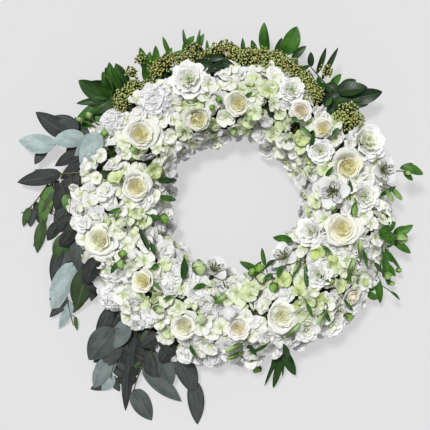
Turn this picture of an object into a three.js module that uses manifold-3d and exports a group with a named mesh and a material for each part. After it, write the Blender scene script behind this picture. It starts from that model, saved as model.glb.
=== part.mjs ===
// Funeral wreath: a round floral-foam ring in a plastic tray, covered with white
// roses, lisianthus, stock, hydrangea and alstroemeria, with bead clusters and
// glossy leaves round the outside and eucalyptus at one side.
// Millimetres, +Z up. The tray's flat underside stands on Z = 0.
// Every flower is one closed body: a head on a stem that goes down into a drilled
// hole in the foam. Every spray is one closed body: twigs with their leaves.
import * as THREE from 'three';
import { mergeVertices } from 'three/addons/utils/BufferGeometryUtils.js';
import Module from 'manifold-3d';

const wasm = await Module();
wasm.setup();
const { Manifold, Mesh: SolidMesh } = wasm;

// ---- driving dimensions (mm) ----
const RING_RADIUS = 180;      // centre line of the foam ring
const TRAY_WIDTH = 70;        // radial width of the tray (a 430 mm ring)
const TRAY_HEIGHT = 20;
const TRAY_WALL = 2.5;
const FOAM_WIDTH = 63;
const FOAM_SHOULDER = 40;     // height of the foam's straight side
const FOAM_TOP = 56;
const FOAM_CREST = 44;        // width of the flat on top of the foam
const RING_STEPS = 36;
const GAP = 0.35;             // clearance between touching pieces
const STEM_IN_FOAM = 14;      // depth of a stem in the foam
const STEM_AIM = 26;          // height on the centre line that the stems point at
const HOLE_CLEARANCE = 0.3;
const LEAF_THICK = 1.6;
// how deep a head is below its visible centre, as a share of its radius
const ROSE_DEPTH = 1.3;
const LIS_DEPTH = 1.05;
// outline of the hydrangea mass across the ring: [distance from the centre line, height]
const MASS_SECTION = [[-62, 27], [-80, 46], [-74, 70], [-48, 96], [0, 109], [48, 96], [70, 74], [68, 54], [24, 60], [-24, 60], [-38, 27]];
const MASS_SKIN = 7;          // points of the outline that are on the outside
const MASS_STEPS = 36;
const FLORET_BUMP = 2.5;        // unevenness of the hydrangea surface

// ---- where each flower sits: [x, y, z, radius, axis x, axis y, axis z], from the ring's centre;
// a hydrangea has only its middle and a radius that sets its share of the ring ----
const ROSES = [
  [-146, 110.3, 122.9, 25.6, 0.131, 0.014, 0.991],
  [-56.2, 131.2, 112.9, 23.4, 0.104, -0.435, 0.894],
  [6.2, 157.4, 117.8, 21.8, -0.007, -0.169, 0.986],
  [102.6, 144.6, 122, 20.2, -0.203, -0.207, 0.957],
  [137, 118.3, 120, 18.7, -0.283, 0.004, 0.959],
  [179, 57.6, 119.6, 24.9, 0.15, -0.269, 0.951],
  [167.7, -37.3, 123.6, 28, -0.06, 0.013, 0.998],
  [74.6, -174.1, 122.5, 24.1, 0.028, -0.065, 0.998],
  [6.2, -193.1, 118.9, 18.7, 0.003, 0.001, 1],
  [-79.5, -191.7, 117.1, 22.6, -0.08, -0.192, 0.978],
  [-144.6, -118.2, 121.7, 20.2, -0.276, 0.113, 0.954],
  [-212.6, -56.3, 112.5, 28.9, -0.295, -0.078, 0.952],
  [-152.7, 28, 118.1, 23.4, 0.184, -0.034, 0.982],
  [189.3, -146.7, 96.2, 18.9, 0.544, -0.479, 0.689],
];
const LISIANTHUS = [
  [134, 82.6, 117.8, 18.7, -0.145, -0.089, 0.985],
  [90.4, 180.7, 117.9, 18.7, 0.074, 0.149, 0.986],
  [-71.7, 197.9, 118, 26.5, -0.079, 0.217, 0.973],
  [206.2, 14.1, 113.4, 21.9, 0.201, 0.014, 0.98],
  [214.2, 100.8, 98.9, 28.3, 0.403, 0.19, 0.895],
  [118.2, -42.6, 97.1, 22.1, -0.4, 0.144, 0.905],
  [130.7, -108.9, 120.4, 18.7, -0.057, 0.047, 0.997],
  [116.3, -198, 103, 18.9, 0.195, -0.331, 0.923],
  [157.6, -194.2, 79.5, 22.3, 0.363, -0.447, 0.817],
];
const STOCKS = [
  [-127.9, 166.9, 116.1, 28.1, -0.162, 0.212, 0.964],
  [-199.1, 135.9, 92.4, 23.7, -0.463, 0.316, 0.828],
  [-204.9, -152.1, 69.4, 28.8, -0.582, -0.432, 0.69],
];
const ALSTROEMERIA = [
  [239.1, 55.4, 89.2, 20.6, 0.514, 0.119, 0.85],
  [152.6, 20.2, 118.7, 23.4, -0.195, -0.026, 0.981],
  [77.8, -80.9, 85, 20.6, -0.382, 0.398, 0.834],
  [-30.4, -100.6, 72.9, 20.8, 0.182, 0.605, 0.775],
];
const BEADS = [
  [-167.9, 179, 88.2, 20.6, -0.361, 0.385, 0.849],
  [-121.6, 225.6, 69.8, 20.8, -0.304, 0.564, 0.767],
  [-46, 242.8, 84.9, 20.6, -0.101, 0.535, 0.838],
  [17.3, 232.9, 99.8, 22, 0.031, 0.418, 0.908],
  [99.4, 216.1, 95.8, 23.7, 0.191, 0.415, 0.89],
  [182.3, 141.5, 102.1, 23.6, 0.312, 0.242, 0.919],
];
const HYDRANGEAS = [
  [192.2, 79.6, 70, 60],
  [79.6, 192.2, 70, 60],
  [-79.6, 192.2, 70, 60],
  [-192.2, 79.6, 70, 60],
  [-192.2, -79.6, 70, 60],
  [-79.6, -192.2, 70, 60],
  [79.6, -192.2, 70, 60],
  [192.2, -79.6, 70, 60],
  [91.3, 108.8, 72, 50],
  [-75.2, 120.4, 72, 50],
  [-137.8, -34.4, 72, 50],
  [-9.9, -141.7, 72, 50],
  [131.7, -53.2, 72, 50],
];
const SPRAYS = {
  eucalyptus_01: {
    stems: [[[-197.2, 88, 36], [-226, 95.9, 40], [-257.2, 109.1, 38], [-287.1, 102.8, 34], [-310.6, 96.5, 30]], [[-218.6, 60.4, 34], [-247.7, 53.8, 36], [-280.9, 50.6, 32], [-301.5, 37.7, 26], [-318.9, 14.8, 20], [-336, -4.9, 16], [-350, -13.2, 12]], [[-226, 95.9, 40], [-218.6, 60.4, 34]]],
    leaves: [
      [-259.9, 112.1, 42, -319, 149, 48, 28.3, 10, 6],
      [-251.5, 125, 44, -289.5, 144, 50, 17, -10, 3],
      [-290.4, 97.9, 34, -351, 106.6, 24, 28.3, -10, 6],
      [-240.3, 108.8, 43, -293.2, 102.1, 47, 26.4, 15, 5],
      [-227.1, 116.8, 45, -257.8, 62, 34, 26.4, 20, 4],
      [-240.7, 89.4, 40, -291, 65.4, 30, 20.8, -15, 4],
      [-280.8, 52.2, 33, -353.4, 37.8, 20, 22.7, 10, 5],
      [-298, 31.1, 27, -316.9, -29.7, 12, 22.7, -20, 4],
      [-277.5, 31, 33, -285, -18.1, 16, 30.2, 10, 4],
      [-313.1, -24.7, 15, -324.6, -77.8, 6, 17, 20, 2],
      [-336, -3.3, 16, -347.6, -34.8, 7, 11.3, 0, 1],
    ],
    buds: [],
  },
  eucalyptus_02: {
    stems: [[[-202.1, -53.8, 36], [-234.2, -63.4, 40], [-257.5, -89.6, 36], [-272, -129.4, 26], [-271.6, -164.6, 17], [-264.7, -198.5, 8]], [[-234.2, -63.4, 40], [-253.7, -47.2, 40], [-267, -44, 38]], [[-234.2, -63.4, 40], [-224.1, -86.1, 43], [-210.8, -98.9, 45]]],
    leaves: [
      [-270.4, -45.6, 37, -287.3, -96.9, 22, 26.4, 10, 4],
      [-280.9, -67, 32, -300.4, -125.5, 12, 18.9, -20, 3],
      [-246.8, -43.8, 43, -251.2, -107.7, 34, 34, 0, 4],
      [-262.5, -92.9, 35, -299.3, -176.9, 9, 30.2, -10, 6],
      [-237.2, -102.3, 42, -258.1, -167.7, 20, 34, 15, 5],
      [-266.6, -159.6, 18, -288.3, -203.8, 5, 15.1, 0, 2],
      [-212.5, -100.6, 45, -229.5, -135.1, 38, 22.7, 0, 2],
    ],
    buds: [],
  },
  eucalyptus_03: {
    stems: [[[-143.6, -150.1, 34], [-169.1, -183.8, 40], [-185.8, -220, 36], [-196.8, -262.4, 24], [-204.9, -297.4, 10]], [[-169.1, -183.8, 40], [-194.8, -168.9, 43]], [[-169.1, -183.8, 40], [-143, -196.6, 42]]],
    leaves: [
      [-198.1, -165.6, 43, -223.5, -212.1, 34, 20.8, 0, 3],
      [-194.9, -199.8, 42, -235.7, -252.1, 28, 39.6, 10, 6],
      [-172.2, -188.4, 42, -197.2, -233.1, 36, 28.3, -15, 4],
      [-196.4, -245.5, 28, -229.9, -301.1, 8, 26.4, 10, 5],
      [-199.2, -278.2, 17, -218.7, -306.5, 5, 18.9, 0, 2],
      [-136.3, -199.6, 44, -151.4, -231.2, 38, 17, 0, 2],
    ],
    buds: [],
  },
  eucalyptus_04: {
    stems: [[[-99.5, -184.4, 34], [-120.3, -219.5, 40], [-143.9, -253.4, 30], [-158, -284.7, 18], [-165.3, -309.2, 9]], [[-120.3, -219.5, 40], [-101, -236.2, 37], [-78.6, -260.4, 27], [-65.9, -288.4, 15]]],
    leaves: [
      [-168.8, -240.9, 26, -178.8, -337.8, 6, 17, 0, 2],
      [-165.2, -304.1, 10, -135.9, -354.6, 5, 28.3, 10, 2],
      [-149, -263.7, 27, -87.5, -321.9, 12, 24.5, 10, 4],
      [-123.7, -222.9, 39, -101.9, -294.2, 20, 32.1, -10, 5],
      [-93, -243.1, 34, -64.2, -309.7, 16, 30.2, 8, 4],
      [-65.9, -288.3, 16, -59.6, -361, 6, 24.5, 10, 3],
      [-137.2, -246.6, 32, -124.9, -297.5, 20, 22.7, 0, 3],
    ],
    buds: [],
  },
  leaves_01: {
    stems: [[[-153.2, 145, 36], [-178.7, 164.1, 42], [-201, 175.1, 46]], [[-178.7, 164.1, 42], [-155.8, 193.1, 44], [-126.5, 217.3, 45]]],
    leaves: [
      [-201, 170.2, 46, -249.9, 199.9, 56, 27.2, 20, 5],
      [-201, 175.1, 46, -210.5, 213.7, 62, 16, -20, 3],
      [-183.4, 183.4, 44, -200.7, 227.9, 64, 19.2, 25, 4],
      [-202.6, 171.8, 46, -254.5, 165.3, 46, 11.2, 0, 2],
      [-201.1, 171.9, 45, -258.6, 136.6, 40, 16, -20, 3],
      [-136.3, 209.3, 44, -151.4, 252.8, 58, 14.4, 15, 2],
      [-129.8, 214.2, 44, -125.7, 256.2, 57, 12.8, -15, 2],
      [-123.3, 217.3, 45, -82, 249.1, 62, 14.4, 10, 3],
    ],
    buds: [],
  },
  leaves_02: {
    stems: [[[-14.7, 207, 36], [-19.5, 228.9, 43], [-51.9, 238.5, 44], [-81.1, 244.9, 45], [-103.8, 241.7, 45]], [[-19.5, 228.9, 43], [17.9, 238.5, 44], [55.2, 241.8, 44], [81.1, 243.3, 45]]],
    leaves: [
      [-81.1, 244.9, 45, -64.5, 272.5, 56, 16.6, 10, 3],
      [-103.8, 241.7, 45, -114.6, 271.2, 54, 9.2, 0, 2],
      [-74.6, 243.3, 45, -82.3, 284.1, 54, 7.4, 0, 2],
      [-60, 240, 45, -54.9, 284.1, 54, 7.4, 10, 2],
      [-42.2, 235.3, 44, -43.6, 266.6, 52, 7.4, 0, 1],
      [14.6, 238.5, 44, 14.5, 269.5, 54, 9.2, 0, 2],
      [53.6, 241.8, 44, 48.3, 292.8, 60, 20.2, 15, 3],
      [81.1, 243.3, 45, 101.5, 286.7, 58, 33.1, -15, 4],
    ],
    buds: [],
  },
  leaves_03: {
    stems: [[[138.5, 156.5, 36], [149.4, 173.7, 43], [157.3, 186.5, 45]], [[157.3, 186.5, 45], [137.9, 209.2, 45], [124.8, 223.7, 46]], [[157.3, 186.5, 45], [183.3, 173.5, 45]]],
    leaves: [
      [124.8, 223.7, 46, 124.3, 246.9, 54, 10.1, 0, 1],
      [134.6, 212.5, 45, 148.2, 252.8, 58, 8.4, 0, 1],
      [142.7, 202.7, 45, 167.3, 252.6, 60, 8.4, 10, 1],
      [155.7, 189.8, 45, 172.7, 211.4, 54, 11.8, 0, 1],
      [162.2, 184.9, 45, 214.2, 190, 58, 23.5, 20, 4],
      [183.3, 173.5, 45, 238.9, 182.4, 54, 23.5, -15, 4],
    ],
    buds: [],
  },
  leaves_04: {
    stems: [[[205.3, -44, 36], [236.9, -53.6, 44], [259.1, -56.7, 48]], [[236.9, -53.6, 44], [241.5, -82.7, 46], [230.2, -115.1, 46], [214.1, -139.5, 45]]],
    leaves: [
      [252.7, -56.7, 47, 288.9, -32.3, 54, 15.2, 10, 3],
      [256, -56.7, 47, 287.5, -78, 42, 12.2, 0, 3],
      [241.5, -79.4, 46, 252.9, -130.5, 34, 13.7, 10, 3],
      [243.3, -68.1, 45, 273.8, -107.6, 36, 6.1, 0, 1],
      [231.8, -113.5, 46, 240.1, -160.1, 32, 12.2, 0, 3],
    ],
    buds: [[268.5, -53.4, 50, 11.2, 1, 0], [247.9, -113.4, 47, 7.2, 1, -0.4], [210.7, -142.6, 46, 8, -0.2, -1]],
  },
  leaves_05: {
    stems: [[[65.3, -199, 34], [74.9, -224.7, 38], [83.2, -243.1, 34]]],
    leaves: [
      [81.5, -236.4, 35, 66, -302.1, 12, 14.1, 0, 3],
      [76.6, -229.7, 37, 51.1, -298.5, 14, 7.7, 0, 2],
      [81.6, -241.5, 34, 80.6, -283, 18, 5.1, 0, 1],
      [78.2, -229.7, 37, 101.8, -279.1, 22, 19.2, 0, 4],
    ],
    buds: [],
  },
};


// ---- helpers ----
const V = (x, y, z) => new THREE.Vector3(x, y, z);

// a closed three.js geometry as a solid
function solid(geometry) {
  const g0 = geometry.clone();
  for (const name of Object.keys(g0.attributes)) if (name !== 'position') g0.deleteAttribute(name);
  const g = mergeVertices(g0, 1e-4);
  const index = g.index.array;
  const tri = [];
  for (let i = 0; i < index.length; i += 3) {
    const [a, b, c] = [index[i], index[i + 1], index[i + 2]];
    if (a !== b && b !== c && a !== c) tri.push(a, b, c);
  }
  let s = new Manifold(new SolidMesh({ numProp: 3, vertProperties: new Float32Array(g.attributes.position.array), triVerts: new Uint32Array(tri) }));
  if (s.volume() < 0) {
    for (let i = 0; i < tri.length; i += 3) [tri[i], tri[i + 1]] = [tri[i + 1], tri[i]];
    s = new Manifold(new SolidMesh({ numProp: 3, vertProperties: new Float32Array(g.attributes.position.array), triVerts: new Uint32Array(tri) }));
  }
  return s;
}

// the largest separate body of a solid
function largest(s) {
  const parts = s.decompose();
  let best = parts[0];
  for (const p of parts) if (p.volume() > best.volume()) best = p;
  return best;
}

// a frame with Z along the axis and X along the ring
function frameAt(centre, axis) {
  const n = axis.clone().normalize();
  const along = V(-centre.y, centre.x, 0).normalize();
  const x = along.clone().addScaledVector(n, -along.dot(n)).normalize();
  const y = n.clone().cross(x);
  return new THREE.Matrix4().makeBasis(x, y, n).setPosition(centre);
}

// a lathe about Z whose profile [[r, z], ...] starts and ends on the axis; wave(j, angle) -> [dr, dz]
function lathe(profile, steps, wave) {
  const g = new THREE.LatheGeometry(profile.map(([r, z]) => new THREE.Vector2(r, z)), steps);
  const p = g.attributes.position;
  const n = profile.length;
  for (let i = 0; i <= steps; i++) {
    const a = ((i % steps) / steps) * Math.PI * 2;
    for (let j = 0; j < n; j++) {
      let [r, z] = profile[j];
      if (wave && r > 0) { const [dr, dz] = wave(j, a, i % steps); r *= 1 + dr; z += dz; }
      p.setXYZ(i * n + j, r * Math.cos(a), r * Math.sin(a), z);
    }
  }
  return g;
}

// a round rod along a line of points, with a radius at each end
function rod(points, r0, r1, sides = 5) {
  const n = points.length - 1;
  const g = new THREE.CylinderGeometry(1, 1, 1, sides, n);
  const p = g.attributes.position;
  const at = points.map((q, i) => {
    const t = (i === 0 ? points[1].clone().sub(q) : i === n ? q.clone().sub(points[n - 1]) : points[i + 1].clone().sub(points[i - 1])).normalize();
    const side = Math.abs(t.z) > 0.9 ? V(1, 0, 0) : V(0, 0, 1);
    const x = side.clone().addScaledVector(t, -side.dot(t)).normalize();
    return { q, x, y: t.clone().cross(x), r: r0 + (r1 - r0) * i / n };
  });
  for (let i = 0; i < p.count; i++) {
    const k = Math.round((0.5 - p.getY(i)) * n);
    const { q, x, y, r } = at[k];
    const w = q.clone().addScaledVector(x, p.getX(i) * r).addScaledVector(y, p.getZ(i) * r);
    p.setXYZ(i, w.x, w.y, w.z);
  }
  return solid(g);
}

// a leaf: a thin plate, sharp at its edge, with a raised middle, arched and rolled about its length
const LEAF_SHAPE = [[0, 0], [0.28, 0.86], [0.6, 0.9], [1, 0]];
const LEAF_SHAPE_FINE = [[0, 0], [0.2, 0.6], [0.45, 1], [0.75, 0.72], [1, 0]];
function leaf(base, tip, width, rollDeg, arch, grow = 0, shape = LEAF_SHAPE, start = 2.5) {
  const g = new THREE.SphereGeometry(1, 4, shape.length - 1);
  const p = g.attributes.position;
  const along = tip.clone().sub(base);
  const length = along.length();
  along.normalize();
  let across = V(0, 0, 1).cross(along);
  if (across.length() < 0.2) across = V(1, 0, 0).cross(along);
  across.normalize();
  let up = along.clone().cross(across);
  const roll = THREE.MathUtils.degToRad(rollDeg);
  const a2 = across.clone().multiplyScalar(Math.cos(roll)).addScaledVector(up, Math.sin(roll));
  up = along.clone().cross(a2);
  for (let i = 0; i < p.count; i++) {
    const row = Math.round(Math.acos(THREE.MathUtils.clamp(p.getY(i), -1, 1)) / (Math.PI / (shape.length - 1)));
    const [t, w] = shape[row];
    const ring = Math.hypot(p.getX(i), p.getZ(i));
    const cx = ring > 1e-6 ? p.getX(i) / ring : 0;
    const cz = ring > 1e-6 ? p.getZ(i) / ring : 0;
    const half = w * width / 2 + (w > 0 ? 3 * grow : 0);
    const first = shape[1][0], last = shape[shape.length - 2][0];
    const rise0 = arch * Math.sin(Math.PI * first) / (first * length + start);
    const rise1 = arch * Math.sin(Math.PI * last) / ((1 - last) * length);
    const l = t * length + (t === 0 ? -start - 2 * grow : t === 1 ? 2 * grow : 0);
    const lift = (t === 0 ? -2 * grow * rise0 : t === 1 ? -2 * grow * rise1 : 0);
    const thick = (LEAF_THICK / 2 + 2 * grow) * (w > 0 ? 1 : 0);
    const fold = -0.12 * width * Math.abs(cx) * w;
    const q = base.clone().addScaledVector(along, l).addScaledVector(a2, cx * half)
      .addScaledVector(up, cz * thick + arch * Math.sin(Math.PI * t) + fold + lift);
    p.setXYZ(i, q.x, q.y, q.z);
  }
  return solid(g);
}

function ball(centre, radius, squash = 1, axis = V(0, 0, 1), w = 6, h = 4) {
  const g = new THREE.SphereGeometry(radius, w, h);
  g.rotateX(Math.PI / 2);
  g.scale(1, 1, squash);
  g.applyQuaternion(new THREE.Quaternion().setFromUnitVectors(V(0, 0, 1), axis.clone().normalize()));
  g.translate(centre.x, centre.y, centre.z);
  return solid(g);
}

// ---- holder ----
function ring(section) {
  const points = section.map(([u, z]) => new THREE.Vector2(RING_RADIUS + u, z));
  points.push(points[0].clone());
  const g = new THREE.LatheGeometry(points, RING_STEPS);
  g.rotateX(Math.PI / 2);
  return solid(g);
}
const T = TRAY_WIDTH / 2, F = FOAM_WIDTH / 2, C = FOAM_CREST / 2;
const traySolid = ring([[-T, 0], [T, 0], [T, TRAY_HEIGHT], [T - TRAY_WALL, TRAY_HEIGHT], [T - TRAY_WALL, TRAY_WALL], [-T + TRAY_WALL, TRAY_WALL], [-T + TRAY_WALL, TRAY_HEIGHT], [-T, TRAY_HEIGHT]]);
const FOAM_SECTION = [[-F, TRAY_WALL + GAP], [F, TRAY_WALL + GAP], [F, FOAM_SHOULDER], [C, FOAM_TOP], [-C, FOAM_TOP], [-F, FOAM_SHOULDER]];
let foamSolid = ring(FOAM_SECTION);
const insideFoam = (q) => {
  const u = Math.abs(Math.hypot(q.x, q.y) - RING_RADIUS);
  if (u > F || q.z > FOAM_TOP || q.z < TRAY_WALL) return false;
  return u <= C || q.z <= FOAM_SHOULDER + (FOAM_TOP - FOAM_SHOULDER) * (F - u) / (F - C);
};

// the line of a stem from a head down into the foam
function stemLine(from, axis, lead) {
  const bend = from.clone().addScaledVector(axis, -lead);
  const r = Math.hypot(from.x, from.y);
  const aim = V(from.x / r * RING_RADIUS, from.y / r * RING_RADIUS, STEM_AIM);
  const dir = aim.clone().sub(bend).normalize();
  let q = bend.clone();
  for (let i = 0; i < 1000 && !insideFoam(q); i++) q.addScaledVector(dir, 0.25);
  q.addScaledVector(dir, STEM_IN_FOAM);
  return [from, bend, q];
}

// ---- heads, each about its own axis with the visible centre at the origin ----
function roseHead(R, turn) {
  const profile = [[0, -0.06], [0.2, 0.03], [0.28, -0.15], [0.5, 0.03], [0.57, -0.2], [0.84, -0.04], [1.0, -0.22], [0.72, -0.65], [0.2, -1.22], [0, -ROSE_DEPTH]].map(([r, z]) => [r * R, z * R]);
  return lathe(profile, 8, (j, a) => {
    if (j === 1 || j === 3 || j === 4) return [0.10 * Math.cos(3 * a + turn), 0];
    if (j === 5) return [0.05 * Math.cos(4 * a), 0.04 * R * Math.cos(4 * a)];
    if (j === 6) return [-0.05 - 0.05 * Math.cos(4 * a), -0.06 * R * Math.cos(4 * a)];
    return [0, 0];
  });
}
function lisianthusHead(R, turn) {
  const profile = [[0, -0.2], [0.2, -0.05], [0.34, -0.24], [0.58, 0.0], [0.68, -0.22], [0.95, -0.14], [0.78, -0.46], [0.32, -0.9], [0, -LIS_DEPTH]].map(([r, z]) => [r * R, z * R]);
  return lathe(profile, 9, (j, a) => {
    if (j === 3) return [0.08 * Math.cos(4 * a + turn), 0.06 * R * Math.cos(5 * a)];
    if (j === 5) return [-0.04 + 0.06 * Math.cos(5 * a + turn), 0.08 * R * Math.cos(3 * a + turn)];
    return [0, 0];
  });
}
function stockHead(R, turn) {
  const dome = [[0, 0.02], [0.3, -0.1], [0.56, -0.04], [0.74, -0.3], [0.96, -0.34], [0.86, -0.7], [0.4, -1.1], [0, -1.25]].map(([r, z]) => [r * R, z * R]);
  return lathe(dome, 10, (j, a) => (j === 2 || j === 4 ? [0.06 * Math.cos(5 * a + j * 0.8), 0.07 * R * Math.cos(5 * a + j * 0.8 + turn)] : [0, 0]));
}
function alstroemeriaHead(R, turn) {
  let s = solid(lathe([[0, -0.3], [0.22, -0.24], [0.26, -0.5], [0.1, -1.1], [0, -1.15]].map(([r, z]) => [r * R, z * R]), 6));
  for (let k = 0; k < 6; k++) {
    const a = turn + k * Math.PI / 3;
    const d = k % 2 ? 0.92 : 1.02;
    s = s.add(leaf(V(0.2 * R * Math.cos(a), 0.2 * R * Math.sin(a), -0.38 * R), V(d * R * Math.cos(a), d * R * Math.sin(a), (k % 2 ? 0.02 : -0.12) * R), (k % 2 ? 0.55 : 0.72) * R, 0, 0.08 * R));
  }
  return s;
}
function beadHead(R, turn) {
  let s = solid(lathe([[0, -0.2], [0.45, -0.28], [0.72, -0.55], [0.3, -0.95], [0, -1.1]].map(([r, z]) => [r * R, z * R]), 8));
  for (let k = 0; k < 7; k++) {
    const d = k === 0 ? 0 : 0.6;
    const a = turn + k * Math.PI / 3;
    s = s.add(ball(V(d * R * Math.cos(a), d * R * Math.sin(a), (-0.16 - 0.42 * d * d) * R), 3.4, 1, V(0, 0, 1), 4, 2));
  }
  return s;
}

// ---- flowers ----
const flowers = [];
// the room that a head takes in the hydrangea behind it
const CUP = [[0, 0.12], [1.08, 0.07], [1.06, -0.38], [0.34, -1.36], [0, -1.4]];
function addFlower(name, kind, colour, row, head, depth, stemRadius, sphere, cupScale = 1) {
  const [x, y, z] = row;
  const axis = V(...row.slice(-3)).normalize();
  const centre = V(x, y, z);
  const m = frameAt(centre, axis);
  const headSolid = (head.getMesh ? head : solid(head)).transform(m.elements);
  const from = centre.clone().addScaledVector(axis, -depth * 0.72);
  const line = stemLine(from, axis, depth * 0.34 + 3);
  const cup = solid(lathe(CUP.map(([r, z]) => [r * sphere * cupScale, z * sphere * cupScale]), 8)).transform(m.elements);
  flowers.push({ name, kind, colour, cup, centre: centre.clone().addScaledVector(axis, -sphere * 0.5), radius: sphere, head: headSolid, line, stemRadius });
}
const id = (i) => String(i + 1).padStart(2, '0');
ROSES.forEach((r, i) => addFlower(`rose_${id(i)}`, 'rose', 0xf5f0e0, r, roseHead(r[3], i * 1.3 + 0.3), ROSE_DEPTH * r[3], 2.2, r[3]));
LISIANTHUS.forEach((r, i) => addFlower(`lisianthus_${id(i)}`, 'lisianthus', 0xfafaf6, r, lisianthusHead(r[3], i * 1.7), LIS_DEPTH * r[3], 1.8, r[3]));
STOCKS.forEach((r, i) => addFlower(`stock_${id(i)}`, 'stock', 0xf6f6f2, r, stockHead(r[3], i * 1.1), 1.25 * r[3], 2.2, r[3], 1.1));
ALSTROEMERIA.forEach((r, i) => addFlower(`alstroemeria_${id(i)}`, 'alstroemeria', 0xf2f1ec, r, alstroemeriaHead(r[3], i * 0.7), 1.15 * r[3], 1.5, r[3], 1.06));
BEADS.forEach((r, i) => addFlower(`beads_${id(i)}`, 'beads', 0x9fb063, r, beadHead(r[3], i * 0.9), 1.1 * r[3], 1.6, r[3], 0.98));
// ---- sprays ----
const sprays = [];
for (const [name, s] of Object.entries(SPRAYS)) {
  const build = (grow) => {
    let out = null;
    const join = (q) => { out = out ? out.add(q) : q; };
    s.stems.forEach((line, i) => {
      let points = line.map((q) => V(...q));
      if (i === 0) {
        const last = stemLine(points[0], V(0, 0, 0), 0)[2];
        last.addScaledVector(last.clone().sub(points[0]).normalize(), grow);
        points = [last, ...points];
      }
      const r = i === 0 ? 2 : 1.5;
      join(rod(points, r + grow, r * 0.6 + grow, i === 0 ? 4 : 3));
    });
    s.leaves.forEach(([bx, by, bz, tx, ty, tz, w, roll, arch]) => {
      const base = V(bx, by, bz);
      // short stalk from the nearest twig point to the leaf
      let near = null;
      s.stems.forEach((line) => {
        for (let k = 0; k + 1 < line.length; k++) {
          const a = V(...line[k]), b = V(...line[k + 1]);
          const q = new THREE.Line3(a, b).closestPointToPoint(base, true, V(0, 0, 0));
          if (!near || q.distanceTo(base) < near.distanceTo(base)) near = q;
        }
      });
      const tip = V(tx, ty, tz);
      const reach = base.distanceTo(near);
      if (reach > 5) {
        join(rod([near, base.clone().addScaledVector(tip.clone().sub(base), 0.12).add(V(0, 0, arch * 0.36))], 1.1 + grow, 0.9 + grow, 3));
        join(leaf(base, tip, w, roll, arch, grow, w > 30 ? LEAF_SHAPE_FINE : LEAF_SHAPE));
      } else {
        join(leaf(near, tip, w, roll, arch, grow, w > 30 ? LEAF_SHAPE_FINE : LEAF_SHAPE));
      }
    });
    s.buds.forEach(([x, y, z, r, dx, dy]) => join(ball(V(x, y, z), r + grow, 1.35, V(dx, dy, 0.4), 6, 4)));
    return out;
  };
  sprays.push({ name, body: build(0).setTolerance(0.06), keepOut: build(GAP * 1.5).setTolerance(0.06) });
}

// ---- clearances ----
const trim = (s, normal, offset) => s.trimByPlane([normal.x, normal.y, normal.z], offset);
// firm heads share the space between them at a plane
for (const f of flowers) f.shape = f.head;
for (let i = 0; i < flowers.length; i++) for (let j = i + 1; j < flowers.length; j++) {
  const a = flowers[i], b = flowers[j];
  if (a.head.minGap(b.head, 1) > 0.3) continue;
  const d = b.centre.clone().sub(a.centre);
  const l = d.length();
  d.divideScalar(l);
  const t = (l * l + a.radius * a.radius - b.radius * b.radius) / (2 * l);
  const at = a.centre.dot(d) + t;
  a.shape = trim(a.shape, d.clone().negate(), -(at - GAP / 2));
  b.shape = trim(b.shape, d, at + GAP / 2);
}
// the hydrangea heads share the rest of the ring, each nearest its own middle
const massSolid = (() => {
  const pts = MASS_SECTION.map(([u, z]) => new THREE.Vector2(RING_RADIUS + u, z));
  pts.push(pts[0].clone());
  const g = new THREE.LatheGeometry(pts, MASS_STEPS);
  const n = pts.length;
  const p = g.attributes.position;
  for (let i = 0; i <= MASS_STEPS; i++) for (let j = 1; j < MASS_SKIN - 1; j++) {
    const k = i * n + j;
    const [u, z] = MASS_SECTION[j];
    const l = Math.hypot(u, z - 30);
    const bump = ((i % MASS_STEPS) + j) % 2 ? FLORET_BUMP : -FLORET_BUMP;
    const r = Math.hypot(p.getX(k), p.getZ(k));
    const r2 = r + bump * u / l;
    p.setXYZ(k, p.getX(k) * r2 / r, p.getY(k) + bump * (z - 30) / l, p.getZ(k) * r2 / r);
  }
  g.rotateX(Math.PI / 2);
  return solid(g);
})();
const hydrangeas = HYDRANGEAS.map(([x, y, z, r], i) => ({ name: `hydrangea_${id(i)}`, centre: V(x, y, z), radius: r, shape: massSolid, colour: 0xe9eedb, stemRadius: 2.4 }));
for (const a of hydrangeas) for (const b of hydrangeas) {
  if (a === b) continue;
  const d = b.centre.clone().sub(a.centre);
  const l = d.length();
  d.divideScalar(l);
  const t = (l * l + a.radius * a.radius - b.radius * b.radius) / (2 * l);
  a.shape = trim(a.shape, d.clone().negate(), -(a.centre.dot(d) + t - GAP / 2));
}
for (const h of hydrangeas) {
  for (const f of flowers) if (h.shape.intersect(f.cup).volume() > 0) h.shape = h.shape.subtract(f.cup);
  const r = Math.hypot(h.centre.x, h.centre.y);
  const out = V(h.centre.x / r, h.centre.y / r, 0).multiplyScalar(Math.sign(r - RING_RADIUS));
  h.line = stemLine(h.centre, out, -1);
}
const all = [...flowers, ...hydrangeas];
// heads make way for stems and sprays, and stay off the foam and tray
const keepOff = ring([[-T - GAP, -1], [T + GAP, -1], [T + GAP, TRAY_HEIGHT + GAP], [F + GAP, FOAM_SHOULDER + GAP], [C + GAP, FOAM_TOP + GAP], [-C - GAP, FOAM_TOP + GAP], [-F - GAP, FOAM_SHOULDER + GAP], [-T - GAP, TRAY_HEIGHT + GAP]]);
for (const f of all) {
  f.stem = rod(f.line, f.stemRadius, f.stemRadius, 4);
  f.stemWide = rod(f.line, f.stemRadius + GAP * 1.5, f.stemRadius + GAP * 1.5, 4);
}
for (const f of all) {
  for (const s of sprays) if (f.shape.intersect(s.keepOut).volume() > 0) f.shape = f.shape.subtract(s.keepOut);
  for (const g of all) if (g !== f && f.shape.intersect(g.stemWide).volume() > 0) f.shape = f.shape.subtract(g.stemWide);
  if (f.shape.intersect(keepOff).volume() > 0) f.shape = f.shape.subtract(keepOff);
  let body = f.shape.add(f.stem);
  for (const s of sprays) if (body.intersect(s.keepOut).volume() > 0) body = body.subtract(s.keepOut);
  f.body = largest(largest(body).setTolerance(0.06));
}
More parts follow.
